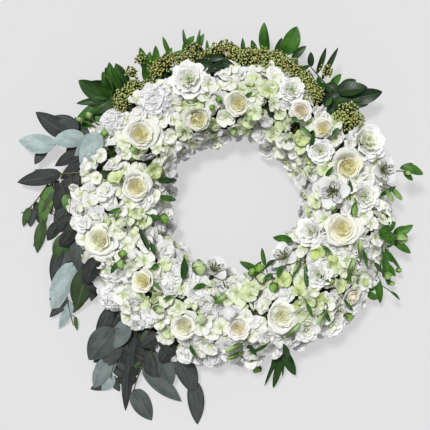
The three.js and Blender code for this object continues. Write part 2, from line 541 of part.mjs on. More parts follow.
// holes in the foam
for (const f of all) {
  const hole = rod([f.line[0], f.line[1], f.line[2].clone().add(f.line[2].clone().sub(f.line[1]).normalize().multiplyScalar(HOLE_CLEARANCE))], f.stemRadius + HOLE_CLEARANCE * 1.45, f.stemRadius + HOLE_CLEARANCE * 1.45, 4);
  foamSolid = foamSolid.subtract(hole);
}
for (const s of sprays) foamSolid = foamSolid.subtract(s.keepOut);
foamSolid = foamSolid.setTolerance(0.02);

// ---- the wreath ----
const wreath = new THREE.Group();
wreath.name = 'funeral_wreath';
function piece(name, s, colour, roughness, metalness = 0) {
  const m = s.getMesh();
  const g = new THREE.BufferGeometry();
  const pos = new Float32Array(m.numVert * 3);
  for (let i = 0; i < m.numVert; i++) for (let k = 0; k < 3; k++) pos[i * 3 + k] = m.vertProperties[i * m.numProp + k];
  g.setAttribute('position', new THREE.BufferAttribute(pos, 3));
  g.setIndex(new THREE.BufferAttribute(new Uint32Array(m.triVerts), 1));
  g.computeVertexNormals();
  const mesh = new THREE.Mesh(g, new THREE.MeshStandardMaterial({ color: colour, roughness, metalness }));
  mesh.name = name;
  wreath.add(mesh);
}
piece('tray', traySolid, 0x1f3524, 0.45);
piece('foam_ring', foamSolid, 0x3f6a46, 0.95);
for (const f of all) piece(f.name, f.body, f.colour, 0.6);
for (const s of sprays) piece(s.name, s.body, s.name.startsWith('eucalyptus') ? 0x7f958f : 0x2f4d2c, s.name.startsWith('eucalyptus') ? 0.6 : 0.3);

// the middle of the bounding box's underside is the origin
const box = new THREE.Box3().setFromObject(wreath);
wreath.position.set(-(box.min.x + box.max.x) / 2, -(box.min.y + box.max.y) / 2, -box.min.z);
wreath.updateMatrixWorld(true);

export default wreath;
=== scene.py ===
import math

import bpy
import numpy as np
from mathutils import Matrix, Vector


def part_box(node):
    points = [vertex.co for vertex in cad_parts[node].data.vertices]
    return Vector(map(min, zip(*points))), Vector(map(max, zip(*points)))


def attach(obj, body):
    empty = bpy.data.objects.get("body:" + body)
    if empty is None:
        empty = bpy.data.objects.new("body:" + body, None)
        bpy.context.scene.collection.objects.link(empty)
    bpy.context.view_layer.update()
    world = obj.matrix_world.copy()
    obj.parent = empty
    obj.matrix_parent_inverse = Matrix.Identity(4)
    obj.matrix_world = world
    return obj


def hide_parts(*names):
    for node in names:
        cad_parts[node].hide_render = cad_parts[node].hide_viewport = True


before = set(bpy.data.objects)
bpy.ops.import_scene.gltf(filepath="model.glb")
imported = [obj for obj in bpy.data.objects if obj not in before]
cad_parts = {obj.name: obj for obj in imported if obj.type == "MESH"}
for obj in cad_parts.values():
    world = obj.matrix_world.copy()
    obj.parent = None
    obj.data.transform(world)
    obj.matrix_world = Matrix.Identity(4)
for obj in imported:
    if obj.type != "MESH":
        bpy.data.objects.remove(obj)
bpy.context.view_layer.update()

rng = np.random.default_rng(20240611)
lo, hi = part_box("foam_ring")
OX, OY = (lo.x + hi.x) / 2 * 1000, (lo.y + hi.y) / 2 * 1000   # the ring's centre, mm
NOISE = np.random.default_rng(7)

RING = 180.0
FOAM_HALF, FOAM_CREST, FOAM_SHOULDER, FOAM_TOP = 31.5, 22.0, 40.0, 56.0
STEM_IN, STEM_AIM, TRAY_FLOOR = 14.0, 26.0, 2.5

ROSES = [
  [-146, 110.3, 122.9, 25.6, 0.131, 0.014, 0.991],
  [-56.2, 131.2, 112.9, 23.4, 0.104, -0.435, 0.894],
  [6.2, 157.4, 117.8, 21.8, -0.007, -0.169, 0.986],
  [102.6, 144.6, 122, 20.2, -0.203, -0.207, 0.957],
  [137, 118.3, 120, 18.7, -0.283, 0.004, 0.959],
  [179, 57.6, 119.6, 24.9, 0.15, -0.269, 0.951],
  [167.7, -37.3, 123.6, 28, -0.06, 0.013, 0.998],
  [74.6, -174.1, 122.5, 24.1, 0.028, -0.065, 0.998],
  [6.2, -193.1, 118.9, 18.7, 0.003, 0.001, 1],
  [-79.5, -191.7, 117.1, 22.6, -0.08, -0.192, 0.978],
  [-144.6, -118.2, 121.7, 20.2, -0.276, 0.113, 0.954],
  [-212.6, -56.3, 112.5, 28.9, -0.295, -0.078, 0.952],
  [-152.7, 28, 118.1, 23.4, 0.184, -0.034, 0.982],
  [189.3, -146.7, 96.2, 18.9, 0.544, -0.479, 0.689],
]
LISIANTHUS = [
  [134, 82.6, 117.8, 18.7, -0.145, -0.089, 0.985],
  [90.4, 180.7, 117.9, 18.7, 0.074, 0.149, 0.986],
  [-71.7, 197.9, 118, 26.5, -0.079, 0.217, 0.973],
  [206.2, 14.1, 113.4, 21.9, 0.201, 0.014, 0.98],
  [214.2, 100.8, 98.9, 28.3, 0.403, 0.19, 0.895],
  [118.2, -42.6, 97.1, 22.1, -0.4, 0.144, 0.905],
  [130.7, -108.9, 120.4, 18.7, -0.057, 0.047, 0.997],
  [116.3, -198, 103, 18.9, 0.195, -0.331, 0.923],
  [157.6, -194.2, 79.5, 22.3, 0.363, -0.447, 0.817],
]
STOCKS = [
  [-127.9, 166.9, 116.1, 28.1, -0.162, 0.212, 0.964],
  [-199.1, 135.9, 92.4, 23.7, -0.463, 0.316, 0.828],
  [-204.9, -152.1, 69.4, 28.8, -0.582, -0.432, 0.69],
]
ALSTROEMERIA = [
  [239.1, 55.4, 89.2, 20.6, 0.514, 0.119, 0.85],
  [152.6, 20.2, 118.7, 23.4, -0.195, -0.026, 0.981],
  [77.8, -80.9, 85, 20.6, -0.382, 0.398, 0.834],
  [-30.4, -100.6, 72.9, 20.8, 0.182, 0.605, 0.775],
]
BEADS = [
  [-167.9, 179, 88.2, 20.6, -0.361, 0.385, 0.849],
  [-121.6, 225.6, 69.8, 20.8, -0.304, 0.564, 0.767],
  [-46, 242.8, 84.9, 20.6, -0.101, 0.535, 0.838],
  [17.3, 232.9, 99.8, 22, 0.031, 0.418, 0.908],
  [99.4, 216.1, 95.8, 23.7, 0.191, 0.415, 0.89],
  [182.3, 141.5, 102.1, 23.6, 0.312, 0.242, 0.919],
]
HYDRANGEAS = [
  [192.2, 79.6, 70, 60],
  [79.6, 192.2, 70, 60],
  [-79.6, 192.2, 70, 60],
  [-192.2, 79.6, 70, 60],
  [-192.2, -79.6, 70, 60],
  [-79.6, -192.2, 70, 60],
  [79.6, -192.2, 70, 60],
  [192.2, -79.6, 70, 60],
  [91.3, 108.8, 72, 50],
  [-75.2, 120.4, 72, 50],
  [-137.8, -34.4, 72, 50],
  [-9.9, -141.7, 72, 50],
  [131.7, -53.2, 72, 50],
]
SPRAYS = {
  "eucalyptus_01": {
    "stems": [[[-197.2, 88, 36], [-226, 95.9, 40], [-257.2, 109.1, 38], [-287.1, 102.8, 34], [-310.6, 96.5, 30]], [[-218.6, 60.4, 34], [-247.7, 53.8, 36], [-280.9, 50.6, 32], [-301.5, 37.7, 26], [-318.9, 14.8, 20], [-336, -4.9, 16], [-350, -13.2, 12]], [[-226, 95.9, 40], [-218.6, 60.4, 34]]],
    "leaves": [
      [-259.9, 112.1, 42, -319, 149, 48, 28.3, 10, 6],
      [-251.5, 125, 44, -289.5, 144, 50, 17, -10, 3],
      [-290.4, 97.9, 34, -351, 106.6, 24, 28.3, -10, 6],
      [-240.3, 108.8, 43, -293.2, 102.1, 47, 26.4, 15, 5],
      [-227.1, 116.8, 45, -257.8, 62, 34, 26.4, 20, 4],
      [-240.7, 89.4, 40, -291, 65.4, 30, 20.8, -15, 4],
      [-280.8, 52.2, 33, -353.4, 37.8, 20, 22.7, 10, 5],
      [-298, 31.1, 27, -316.9, -29.7, 12, 22.7, -20, 4],
      [-277.5, 31, 33, -285, -18.1, 16, 30.2, 10, 4],
      [-313.1, -24.7, 15, -324.6, -77.8, 6, 17, 20, 2],
      [-336, -3.3, 16, -347.6, -34.8, 7, 11.3, 0, 1],
    ],
    "buds": [],
  },
  "eucalyptus_02": {
    "stems": [[[-202.1, -53.8, 36], [-234.2, -63.4, 40], [-257.5, -89.6, 36], [-272, -129.4, 26], [-271.6, -164.6, 17], [-264.7, -198.5, 8]], [[-234.2, -63.4, 40], [-253.7, -47.2, 40], [-267, -44, 38]], [[-234.2, -63.4, 40], [-224.1, -86.1, 43], [-210.8, -98.9, 45]]],
    "leaves": [
      [-270.4, -45.6, 37, -287.3, -96.9, 22, 26.4, 10, 4],
      [-280.9, -67, 32, -300.4, -125.5, 12, 18.9, -20, 3],
      [-246.8, -43.8, 43, -251.2, -107.7, 34, 34, 0, 4],
      [-262.5, -92.9, 35, -299.3, -176.9, 9, 30.2, -10, 6],
      [-237.2, -102.3, 42, -258.1, -167.7, 20, 34, 15, 5],
      [-266.6, -159.6, 18, -288.3, -203.8, 5, 15.1, 0, 2],
      [-212.5, -100.6, 45, -229.5, -135.1, 38, 22.7, 0, 2],
    ],
    "buds": [],
  },
  "eucalyptus_03": {
    "stems": [[[-143.6, -150.1, 34], [-169.1, -183.8, 40], [-185.8, -220, 36], [-196.8, -262.4, 24], [-204.9, -297.4, 10]], [[-169.1, -183.8, 40], [-194.8, -168.9, 43]], [[-169.1, -183.8, 40], [-143, -196.6, 42]]],
    "leaves": [
      [-198.1, -165.6, 43, -223.5, -212.1, 34, 20.8, 0, 3],
      [-194.9, -199.8, 42, -235.7, -252.1, 28, 39.6, 10, 6],
      [-172.2, -188.4, 42, -197.2, -233.1, 36, 28.3, -15, 4],
      [-196.4, -245.5, 28, -229.9, -301.1, 8, 26.4, 10, 5],
      [-199.2, -278.2, 17, -218.7, -306.5, 5, 18.9, 0, 2],
      [-136.3, -199.6, 44, -151.4, -231.2, 38, 17, 0, 2],
    ],
    "buds": [],
  },
  "eucalyptus_04": {
    "stems": [[[-99.5, -184.4, 34], [-120.3, -219.5, 40], [-143.9, -253.4, 30], [-158, -284.7, 18], [-165.3, -309.2, 9]], [[-120.3, -219.5, 40], [-101, -236.2, 37], [-78.6, -260.4, 27], [-65.9, -288.4, 15]]],
    "leaves": [
      [-168.8, -240.9, 26, -178.8, -337.8, 6, 17, 0, 2],
      [-165.2, -304.1, 10, -135.9, -354.6, 5, 28.3, 10, 2],
      [-149, -263.7, 27, -87.5, -321.9, 12, 24.5, 10, 4],
      [-123.7, -222.9, 39, -101.9, -294.2, 20, 32.1, -10, 5],
      [-93, -243.1, 34, -64.2, -309.7, 16, 30.2, 8, 4],
      [-65.9, -288.3, 16, -59.6, -361, 6, 24.5, 10, 3],
      [-137.2, -246.6, 32, -124.9, -297.5, 20, 22.7, 0, 3],
    ],
    "buds": [],
  },
  "leaves_01": {
    "stems": [[[-153.2, 145, 36], [-178.7, 164.1, 42], [-201, 175.1, 46]], [[-178.7, 164.1, 42], [-155.8, 193.1, 44], [-126.5, 217.3, 45]]],
    "leaves": [
      [-201, 170.2, 46, -249.9, 199.9, 56, 27.2, 20, 5],
      [-201, 175.1, 46, -210.5, 213.7, 62, 16, -20, 3],
      [-183.4, 183.4, 44, -200.7, 227.9, 64, 19.2, 25, 4],
      [-202.6, 171.8, 46, -254.5, 165.3, 46, 11.2, 0, 2],
      [-201.1, 171.9, 45, -258.6, 136.6, 40, 16, -20, 3],
      [-136.3, 209.3, 44, -151.4, 252.8, 58, 14.4, 15, 2],
      [-129.8, 214.2, 44, -125.7, 256.2, 57, 12.8, -15, 2],
      [-123.3, 217.3, 45, -82, 249.1, 62, 14.4, 10, 3],
    ],
    "buds": [],
  },
  "leaves_02": {
    "stems": [[[-14.7, 207, 36], [-19.5, 228.9, 43], [-51.9, 238.5, 44], [-81.1, 244.9, 45], [-103.8, 241.7, 45]], [[-19.5, 228.9, 43], [17.9, 238.5, 44], [55.2, 241.8, 44], [81.1, 243.3, 45]]],
    "leaves": [
      [-81.1, 244.9, 45, -64.5, 272.5, 56, 16.6, 10, 3],
      [-103.8, 241.7, 45, -114.6, 271.2, 54, 9.2, 0, 2],
      [-74.6, 243.3, 45, -82.3, 284.1, 54, 7.4, 0, 2],
      [-60, 240, 45, -54.9, 284.1, 54, 7.4, 10, 2],
      [-42.2, 235.3, 44, -43.6, 266.6, 52, 7.4, 0, 1],
      [14.6, 238.5, 44, 14.5, 269.5, 54, 9.2, 0, 2],
      [53.6, 241.8, 44, 48.3, 292.8, 60, 20.2, 15, 3],
      [81.1, 243.3, 45, 101.5, 286.7, 58, 33.1, -15, 4],
    ],
    "buds": [],
  },
  "leaves_03": {
    "stems": [[[138.5, 156.5, 36], [149.4, 173.7, 43], [157.3, 186.5, 45]], [[157.3, 186.5, 45], [137.9, 209.2, 45], [124.8, 223.7, 46]], [[157.3, 186.5, 45], [183.3, 173.5, 45]]],
    "leaves": [
      [124.8, 223.7, 46, 124.3, 246.9, 54, 10.1, 0, 1],
      [134.6, 212.5, 45, 148.2, 252.8, 58, 8.4, 0, 1],
      [142.7, 202.7, 45, 167.3, 252.6, 60, 8.4, 10, 1],
      [155.7, 189.8, 45, 172.7, 211.4, 54, 11.8, 0, 1],
      [162.2, 184.9, 45, 214.2, 190, 58, 23.5, 20, 4],
      [183.3, 173.5, 45, 238.9, 182.4, 54, 23.5, -15, 4],
    ],
    "buds": [],
  },
  "leaves_04": {
    "stems": [[[205.3, -44, 36], [236.9, -53.6, 44], [259.1, -56.7, 48]], [[236.9, -53.6, 44], [241.5, -82.7, 46], [230.2, -115.1, 46], [214.1, -139.5, 45]]],
    "leaves": [
      [252.7, -56.7, 47, 288.9, -32.3, 54, 15.2, 10, 3],
      [256, -56.7, 47, 287.5, -78, 42, 12.2, 0, 3],
      [241.5, -79.4, 46, 252.9, -130.5, 34, 13.7, 10, 3],
      [243.3, -68.1, 45, 273.8, -107.6, 36, 6.1, 0, 1],
      [231.8, -113.5, 46, 240.1, -160.1, 32, 12.2, 0, 3],
    ],
    "buds": [[268.5, -53.4, 50, 11.2, 1, 0], [247.9, -113.4, 47, 7.2, 1, -0.4], [210.7, -142.6, 46, 8, -0.2, -1]],
  },
  "leaves_05": {
    "stems": [[[65.3, -199, 34], [74.9, -224.7, 38], [83.2, -243.1, 34]]],
    "leaves": [
      [81.5, -236.4, 35, 66, -302.1, 12, 14.1, 0, 3],
      [76.6, -229.7, 37, 51.1, -298.5, 14, 7.7, 0, 2],
      [81.6, -241.5, 34, 80.6, -283, 18, 5.1, 0, 1],
      [78.2, -229.7, 37, 101.8, -279.1, 22, 19.2, 0, 4],
    ],
    "buds": [],
  },
}

KEY, FILL, WORLD, SOFT = 2.9, 15, 0.32, 11
FLOOR_D, FLOOR_E = 0.2, 0.535

# ------------------------------------------------------------------ mesh building
class Geo:
    """Collects quads with a UV per vertex and a material per face."""

    def __init__(self):
        self.v, self.uv, self.f, self.m, self.n = [], [], [], [], 0

    def grid(self, P, UV, mat, wrap=False):
        a, b = P.shape[:2]
        idx = np.arange(a * b).reshape(a, b) + self.n
        self.v.append(P.reshape(-1, 3))
        self.uv.append(UV.reshape(-1, 2))
        if wrap:
            nxt = np.roll(idx, -1, axis=0)
            q = np.stack([idx[:, :-1], nxt[:, :-1], nxt[:, 1:], idx[:, 1:]], -1)
        else:
            q = np.stack([idx[:-1, :-1], idx[1:, :-1], idx[1:, 1:], idx[:-1, 1:]], -1)
        q = q.reshape(-1, 4)
        self.f.append(q)
        self.m.append(np.full(len(q), mat, np.int32))
        self.n += a * b

    def piece(self, name, mats):
        v = np.concatenate(self.v) * 0.001
        v[:, 0] += OX * 0.001
        v[:, 1] += OY * 0.001
        f = np.concatenate(self.f)
        uv = np.concatenate(self.uv)
        m = np.concatenate(self.m)
        me = bpy.data.meshes.new(name)
        me.vertices.add(len(v))
        me.vertices.foreach_set("co", v.astype(np.float32).ravel())
        me.loops.add(f.size)
        me.loops.foreach_set("vertex_index", f.astype(np.int32).ravel())
        me.polygons.add(len(f))
        me.polygons.foreach_set("loop_start", np.arange(0, f.size, 4, dtype=np.int32))
        me.polygons.foreach_set("material_index", m)
        me.polygons.foreach_set("use_smooth", np.ones(len(f), bool))
        layer = me.uv_layers.new(name="OFBake")
        layer.data.foreach_set("uv", uv[f.ravel()].astype(np.float32).ravel())
        me.update(calc_edges=True)
        me.validate()
        for mat in mats:
            me.materials.append(mat)
        ob = bpy.data.objects.new(name, me)
        bpy.context.scene.collection.objects.link(ob)
        return ob


CELLS = 4          # the UV map is a sheet of 4 x 4 petals, each a shade of its own


def cell_uv(k, s, t):
    """UV for petal shade k (0..15); s is -1..1 across, t is 0..1 along."""
    k = int(k) % 16
    cx, cy = k % CELLS, k // CELLS
    return np.stack([(cx + 0.5 + 0.44 * s) / CELLS, (cy + 0.06 + 0.88 * t) / CELLS], -1)


def unit(v):
    v = np.asarray(v, float)
    return v / max(np.linalg.norm(v), 1e-9)


def basis(n, along=None, spin=0.0):
    """3x3 with columns x, y, z where z is n; x lies near `along`, turned by spin."""
    n = unit(n)
    a = np.array([1.0, 0, 0]) if along is None else np.asarray(along, float)
    x = a - n * a.dot(n)
    if np.linalg.norm(x) < 1e-3:
        a = np.array([0, 1.0, 0])
        x = a - n * a.dot(n)
    x = unit(x)
    y = np.cross(n, x)
    c, s = math.cos(spin), math.sin(spin)
    return np.stack([x * c + y * s, y * c - x * s, n], 1)


def smooth(a, b, x):
    t = np.clip((x - a) / (b - a), 0, 1)
    return t * t * (3 - 2 * t)


def tube(g, pts, r0, r1, mat, sides=6, k=0, cap=True, sub=4):
    """A round twig through the points, smoothed, tapering from r0 to r1."""
    P = np.asarray(pts, float)
    if len(P) > 2 and sub > 1:
        out = []
        Q = np.vstack([2 * P[0] - P[1], P, 2 * P[-1] - P[-2]])
        for i in range(1, len(Q) - 2):
            for j in range(sub):
                t = j / sub
                a, b, c, d = Q[i - 1], Q[i], Q[i + 1], Q[i + 2]
                out.append(0.5 * (2 * b + (c - a) * t + (2 * a - 5 * b + 4 * c - d) * t * t + (3 * b - a - 3 * c + d) * t ** 3))
        out.append(P[-1])
        P = np.array(out)
    n = len(P)
    T = np.gradient(P, axis=0)
    T /= np.maximum(np.linalg.norm(T, axis=1, keepdims=True), 1e-9)
    ref = np.array([0, 0, 1.0]) if abs(T[0][2]) < 0.9 else np.array([1.0, 0, 0])
    x = unit(np.cross(T[0], ref))
    rings, radii = [], []
    for i in range(n):
        x = x - T[i] * x.dot(T[i])
        x = unit(x)
        y = np.cross(T[i], x)
        r = r0 + (r1 - r0) * i / (n - 1)
        a = np.arange(sides) * 2 * math.pi / sides
        rings.append(P[i] + r * (np.cos(a)[:, None] * x + np.sin(a)[:, None] * y))
    if cap:
        rings.insert(0, np.repeat(P[:1], sides, 0))
        rings.append(np.repeat(P[-1:], sides, 0))
    G = np.stack(rings, 1)                       # sides, n, 3
    s = np.linspace(-1, 1, sides)[:, None] * np.ones((1, G.shape[1]))
    t = np.linspace(0, 1, G.shape[1])[None, :] * np.ones((sides, 1))
    g.grid(G, cell_uv(k, s, t), mat, wrap=True)


def egg(g, c, axis, r, length, mat, k, w=8, h=6, point=0.0, bumpy=0.0):
    """A bud or bead: round, `length` long along axis, with a pointed far end."""
    B = basis(axis)
    t = np.linspace(0, 1, h + 1)
    z = (1 - np.cos(math.pi * t)) / 2
    rad = np.sin(math.pi * t) * (1 - point * smooth(0.45, 1.0, t) * 0.6)
    a = np.arange(w) * 2 * math.pi / w
    rr = r * rad[None, :] * (1 + bumpy * np.cos(3 * a)[:, None])
    L = np.stack([rr * np.cos(a)[:, None], rr * np.sin(a)[:, None], (z[None, :] - 0.5) * length * np.ones((w, 1))], -1)
    G = np.asarray(c, float) + L @ B.T
    s = np.linspace(-1, 1, w)[:, None] * np.ones((1, h + 1))
    g.grid(G, cell_uv(k, s, z[None, :] * np.ones((w, 1))), mat, wrap=True)


def bez(p0, p1, p2, p3, t):
    q = 1 - t
    return p0 * q ** 3 + 3 * p1 * q * q * t + 3 * p2 * q * t * t + p3 * t ** 3


def cup_petal(g, c, B, phi, W, prof, corner, ripple, spiral, k, mat, nu, nv, edge=0.0, tipup=0.0, phase=0.0, freq=2.2, notch=0.0):
    """A petal that wraps round the flower's axis. prof is 4 (radius, height) points of its
    middle line; corner cuts its upper corners round; edge bends its sides outwards."""
    s = np.linspace(-1, 1, nu + 1)[:, None] * np.ones((1, nv + 1))
    t = (np.linspace(0, 1, nv + 1) ** 0.85)[None, :] * np.ones((nu + 1, 1))
    te = t * (1 - corner * np.abs(s) ** 2.6 + tipup * np.exp(-(s / 0.16) ** 2) - notch * np.exp(-(s / 0.12) ** 2))
    (r0, z0), (r1, z1), (r2, z2), (r3, z3) = prof
    r = bez(r0, r1, r2, r3, te)
    z = bez(z0, z1, z2, z3, te)
    R3 = r3
    wave = np.sin(freq * math.pi * s + phase) + 0.5 * np.sin(2.3 * freq * math.pi * s + 2.1 * phase)
    r = r * (1 + spiral * s) + ripple * wave * te ** 4
    z = z + ripple * 0.8 * np.cos(freq * math.pi * s + phase * 1.7) * te ** 4 - edge * np.abs(s) ** 3 * te ** 2
    ang = phi + s * W / 2 * (0.34 + 0.66 * np.sin(math.pi / 2 * np.minimum(te / 0.6, 1)))
    L = np.stack([r * np.cos(ang), r * np.sin(ang), z], -1)
    g.grid(np.asarray(c) + L @ B.T, cell_uv(k, s, np.clip(te, 0, 1)), mat)


def blade(g, base, d, up, length, width, k, mat, nu=4, nv=6, cup=0.0, arch=0.0, twist=0.0, peak=0.6, power=0.5, tip_power=0.5, droop=0.0, wave=0.0, phase=0.0, claw=0.0, fold=0.0, side=0.0, frill=0.0):
    """A free petal or leaf from base along d: rounded or pointed by the powers, cupped, arched and folded."""
    t1 = 1 - (1 - np.linspace(0, 1, nv + 1)) ** (1.5 if tip_power < 0.8 else 1.15)
    s = np.linspace(-1, 1, nu + 1)[:, None] * np.ones((1, nv + 1))
    t = t1[None, :] * np.ones((nu + 1, 1))
    h = np.where(t < peak, np.maximum(1 - ((peak - t) / peak) ** 2 + 1e-9, 0) ** power, np.maximum(1 - ((t - peak) / (1 - peak)) ** 2, 0) ** tip_power)
    h = np.maximum(h, claw * (1 - t)) + 0.012
    d = unit(d)
    x = unit(np.cross(d, up))
    n = np.cross(x, d)
    if twist:
        tw = twist * t
        xs = x[None, None] * np.cos(tw)[..., None] + n[None, None] * np.sin(tw)[..., None]
        ns = n[None, None] * np.cos(tw)[..., None] - x[None, None] * np.sin(tw)[..., None]
    else:
        xs, ns = x[None, None], n[None, None]
    off = arch * np.sin(math.pi * t) - droop * t ** 2 + cup * (s * s) * h * h + fold * np.abs(s) * h + wave * np.sin(phase + 7 * t + 1.5 * s) * np.abs(s) ** 1.5 * h
    if frill:
        rim = np.clip(np.maximum(np.abs(s), t), 0, 1) ** 4
        around = np.arctan2(s, t + 0.15)
        off = off + frill * rim * (np.sin(5.3 * around + phase) + 0.7 * np.sin(9.7 * around + 2.3 * phase))
        h = h * (1 + 0.13 * rim * np.sin(7.3 * around + 1.3 * phase) * (frill > 0))
    P = np.asarray(base)[None, None] + d[None, None] * (t * length)[..., None] + xs * (s * h * width / 2 + side * np.sin(math.pi * t))[..., None] + ns * off[..., None]
    g.grid(P, cell_uv(k, s, t), mat)


# ------------------------------------------------------------------ materials
def nodes_of(name):
    m = bpy.data.materials.new(name)
    m.use_nodes = True
    nt = m.node_tree
    nt.nodes.clear()
    return m, nt


def link(nt, a, b):
    nt.links.new(a, b)


def mathn(nt, op, a, b=None, c=None, clamp=False):
    n = nt.nodes.new("ShaderNodeMath")
    n.operation = op
    n.use_clamp = clamp
    for i, v in enumerate((a, b, c)):
        if v is None:
            continue
        if isinstance(v, (int, float)):
            n.inputs[i].default_value = v
        else:
            link(nt, v, n.inputs[i])
    return n.outputs[0]


def ramp(nt, fac, a, b, x0=0.0, x1=1.0, smoothstep=True):
    n = nt.nodes.new("ShaderNodeMapRange")
    n.interpolation_type = "SMOOTHSTEP" if smoothstep else "LINEAR"
    n.inputs["From Min"].default_value = x0
    n.inputs["From Max"].default_value = x1
    n.inputs["To Min"].default_value = a
    n.inputs["To Max"].default_value = b
    link(nt, fac, n.inputs["Value"])
    return n.outputs["Result"]


def mixc(nt, fac, a, b, mode="MIX"):
    n = nt.nodes.new("ShaderNodeMix")
    n.data_type = "RGBA"
    n.blend_type = mode
    n.clamp_result = False
    if isinstance(fac, (int, float)):
        n.inputs[0].default_value = fac
    else:
        link(nt, fac, n.inputs[0])
    for i, v in ((6, a), (7, b)):
        if isinstance(v, tuple):
            n.inputs[i].default_value = (*v, 1)
        else:
            link(nt, v, n.inputs[i])
    return n.outputs[2]


def grey(nt, v):
    n = nt.nodes.new("ShaderNodeCombineColor")
    for i in range(3):
        link(nt, v, n.inputs[i])
    return n.outputs[0]


def noise(nt, x, y, scale=1.0, detail=2.0, rough=0.5):
    cmb = nt.nodes.new("ShaderNodeCombineXYZ")
    link(nt, x, cmb.inputs[0])
    link(nt, y, cmb.inputs[1])
    n = nt.nodes.new("ShaderNodeTexNoise")
    n.inputs["Scale"].default_value = scale
    n.inputs["Detail"].default_value = detail
    n.inputs["Roughness"].default_value = rough
    link(nt, cmb.outputs[0], n.inputs["Vector"])
    return n.outputs["Fac"]


class Sheet:
    """The petal sheet's coordinates as sockets: s across, t along, k the shade."""

    def __init__(self, nt):
        uvn = nt.nodes.new("ShaderNodeUVMap")
        uvn.uv_map = "OFBake"
        sep = nt.nodes.new("ShaderNodeSeparateXYZ")
        link(nt, uvn.outputs[0], sep.inputs[0])
        x4 = mathn(nt, "MULTIPLY", sep.outputs[0], float(CELLS))
        y4 = mathn(nt, "MULTIPLY", sep.outputs[1], float(CELLS))
        self.x4, self.y4 = x4, y4
        cx, cy = mathn(nt, "FLOOR", x4), mathn(nt, "FLOOR", y4)
        fx, fy = mathn(nt, "FRACT", x4), mathn(nt, "FRACT", y4)
        self.u = mathn(nt, "MULTIPLY", mathn(nt, "SUBTRACT", fx, 0.5), 1 / 0.44)   # -1..1
        self.s = mathn(nt, "ABSOLUTE", self.u)
        self.t = mathn(nt, "MULTIPLY", mathn(nt, "SUBTRACT", fy, 0.06), 1 / 0.88)
        self.k = mathn(nt, "MULTIPLY", mathn(nt, "ADD", mathn(nt, "MULTIPLY", cy, 4.0), cx), 1 / 15)
        self.cx, self.cy = cx, cy


def finish_mat(m, nt, col, rough, height=None, bump=0.3, dist=0.0004, trans=0.0, tcol=None, coat=0.0, spec=0.5, rough_socket=None, sheen=0.0):
    out = nt.nodes.new("ShaderNodeOutputMaterial")
    p = nt.nodes.new("ShaderNodeBsdfPrincipled")
    link(nt, col, p.inputs["Base Color"])
    p.inputs["Roughness"].default_value = rough
    if rough_socket is not None:
        link(nt, rough_socket, p.inputs["Roughness"])
    p.inputs["Specular IOR Level"].default_value = spec
    p.inputs["Coat Weight"].default_value = coat
    p.inputs["Coat Roughness"].default_value = 0.28
    if sheen:
        p.inputs["Sheen Weight"].default_value = sheen
        p.inputs["Sheen Roughness"].default_value = 0.5
    normal = None
    if height is not None:
        b = nt.nodes.new("ShaderNodeBump")
        b.inputs["Strength"].default_value = bump
        b.inputs["Distance"].default_value = dist
        link(nt, height, b.inputs["Height"])
        link(nt, b.outputs[0], p.inputs["Normal"])
        normal = b.outputs[0]
    if trans > 0:
        tr = nt.nodes.new("ShaderNodeBsdfTranslucent")
        link(nt, col if tcol is None else tcol, tr.inputs["Color"])
        if normal is not None:
            link(nt, normal, tr.inputs["Normal"])
        mx = nt.nodes.new("ShaderNodeMixShader")
        mx.inputs[0].default_value = trans
        link(nt, p.outputs[0], mx.inputs[1])
        link(nt, tr.outputs[0], mx.inputs[2])
        link(nt, mx.outputs[0], out.inputs["Surface"])
    else:
        link(nt, p.outputs[0], out.inputs["Surface"])
    m.use_backface_culling = False
    return m


def petal_mat(name, base0, tip0, base1, tip1, t0=0.1, t1=0.85, rough=0.55, trans=0.28, vein=0.05, bump=0.35, blotch=0.05, k_power=1.0, edge=None):
    """Petals shaded from base to tip, from set 0 (shade 0) to set 1 (shade 15)."""
    m, nt = nodes_of(name)
    sh = Sheet(nt)
    tt = ramp(nt, sh.t, 0, 1, t0, t1)
    k = mathn(nt, "POWER", sh.k, k_power)
    c = mixc(nt, k, mixc(nt, tt, base0, tip0), mixc(nt, tt, base1, tip1))
    if edge is not None:
        rim = mathn(nt, "MAXIMUM", ramp(nt, sh.t, 0, 1, 0.9, 1.0), ramp(nt, sh.s, 0, 1, 0.86, 1.0))
        c = mixc(nt, mathn(nt, "MULTIPLY", rim, 0.6), c, edge)
    fan = mathn(nt, "MULTIPLY", sh.u, 9.0)
    lines = noise(nt, mathn(nt, "ADD", fan, mathn(nt, "MULTIPLY", sh.k, 91.0)), mathn(nt, "MULTIPLY", sh.t, 1.6), 1.0, 3.0, 0.6)
    spots = noise(nt, mathn(nt, "ADD", sh.x4, 5.3), sh.y4, 3.2, 2.0, 0.5)
    f1 = ramp(nt, lines, 1 - vein, 1 + vein * 0.4, 0.3, 0.7)
    f2 = ramp(nt, spots, 1 - blotch, 1 + blotch * 0.3, 0.3, 0.7)
    c = mixc(nt, 1.0, c, grey(nt, mathn(nt, "MULTIPLY", f1, f2)), "MULTIPLY")
    h = mathn(nt, "ADD", lines, mathn(nt, "MULTIPLY", spots, 0.6))
    return finish_mat(m, nt, c, rough, h, bump, 0.0005, trans, spec=0.35)


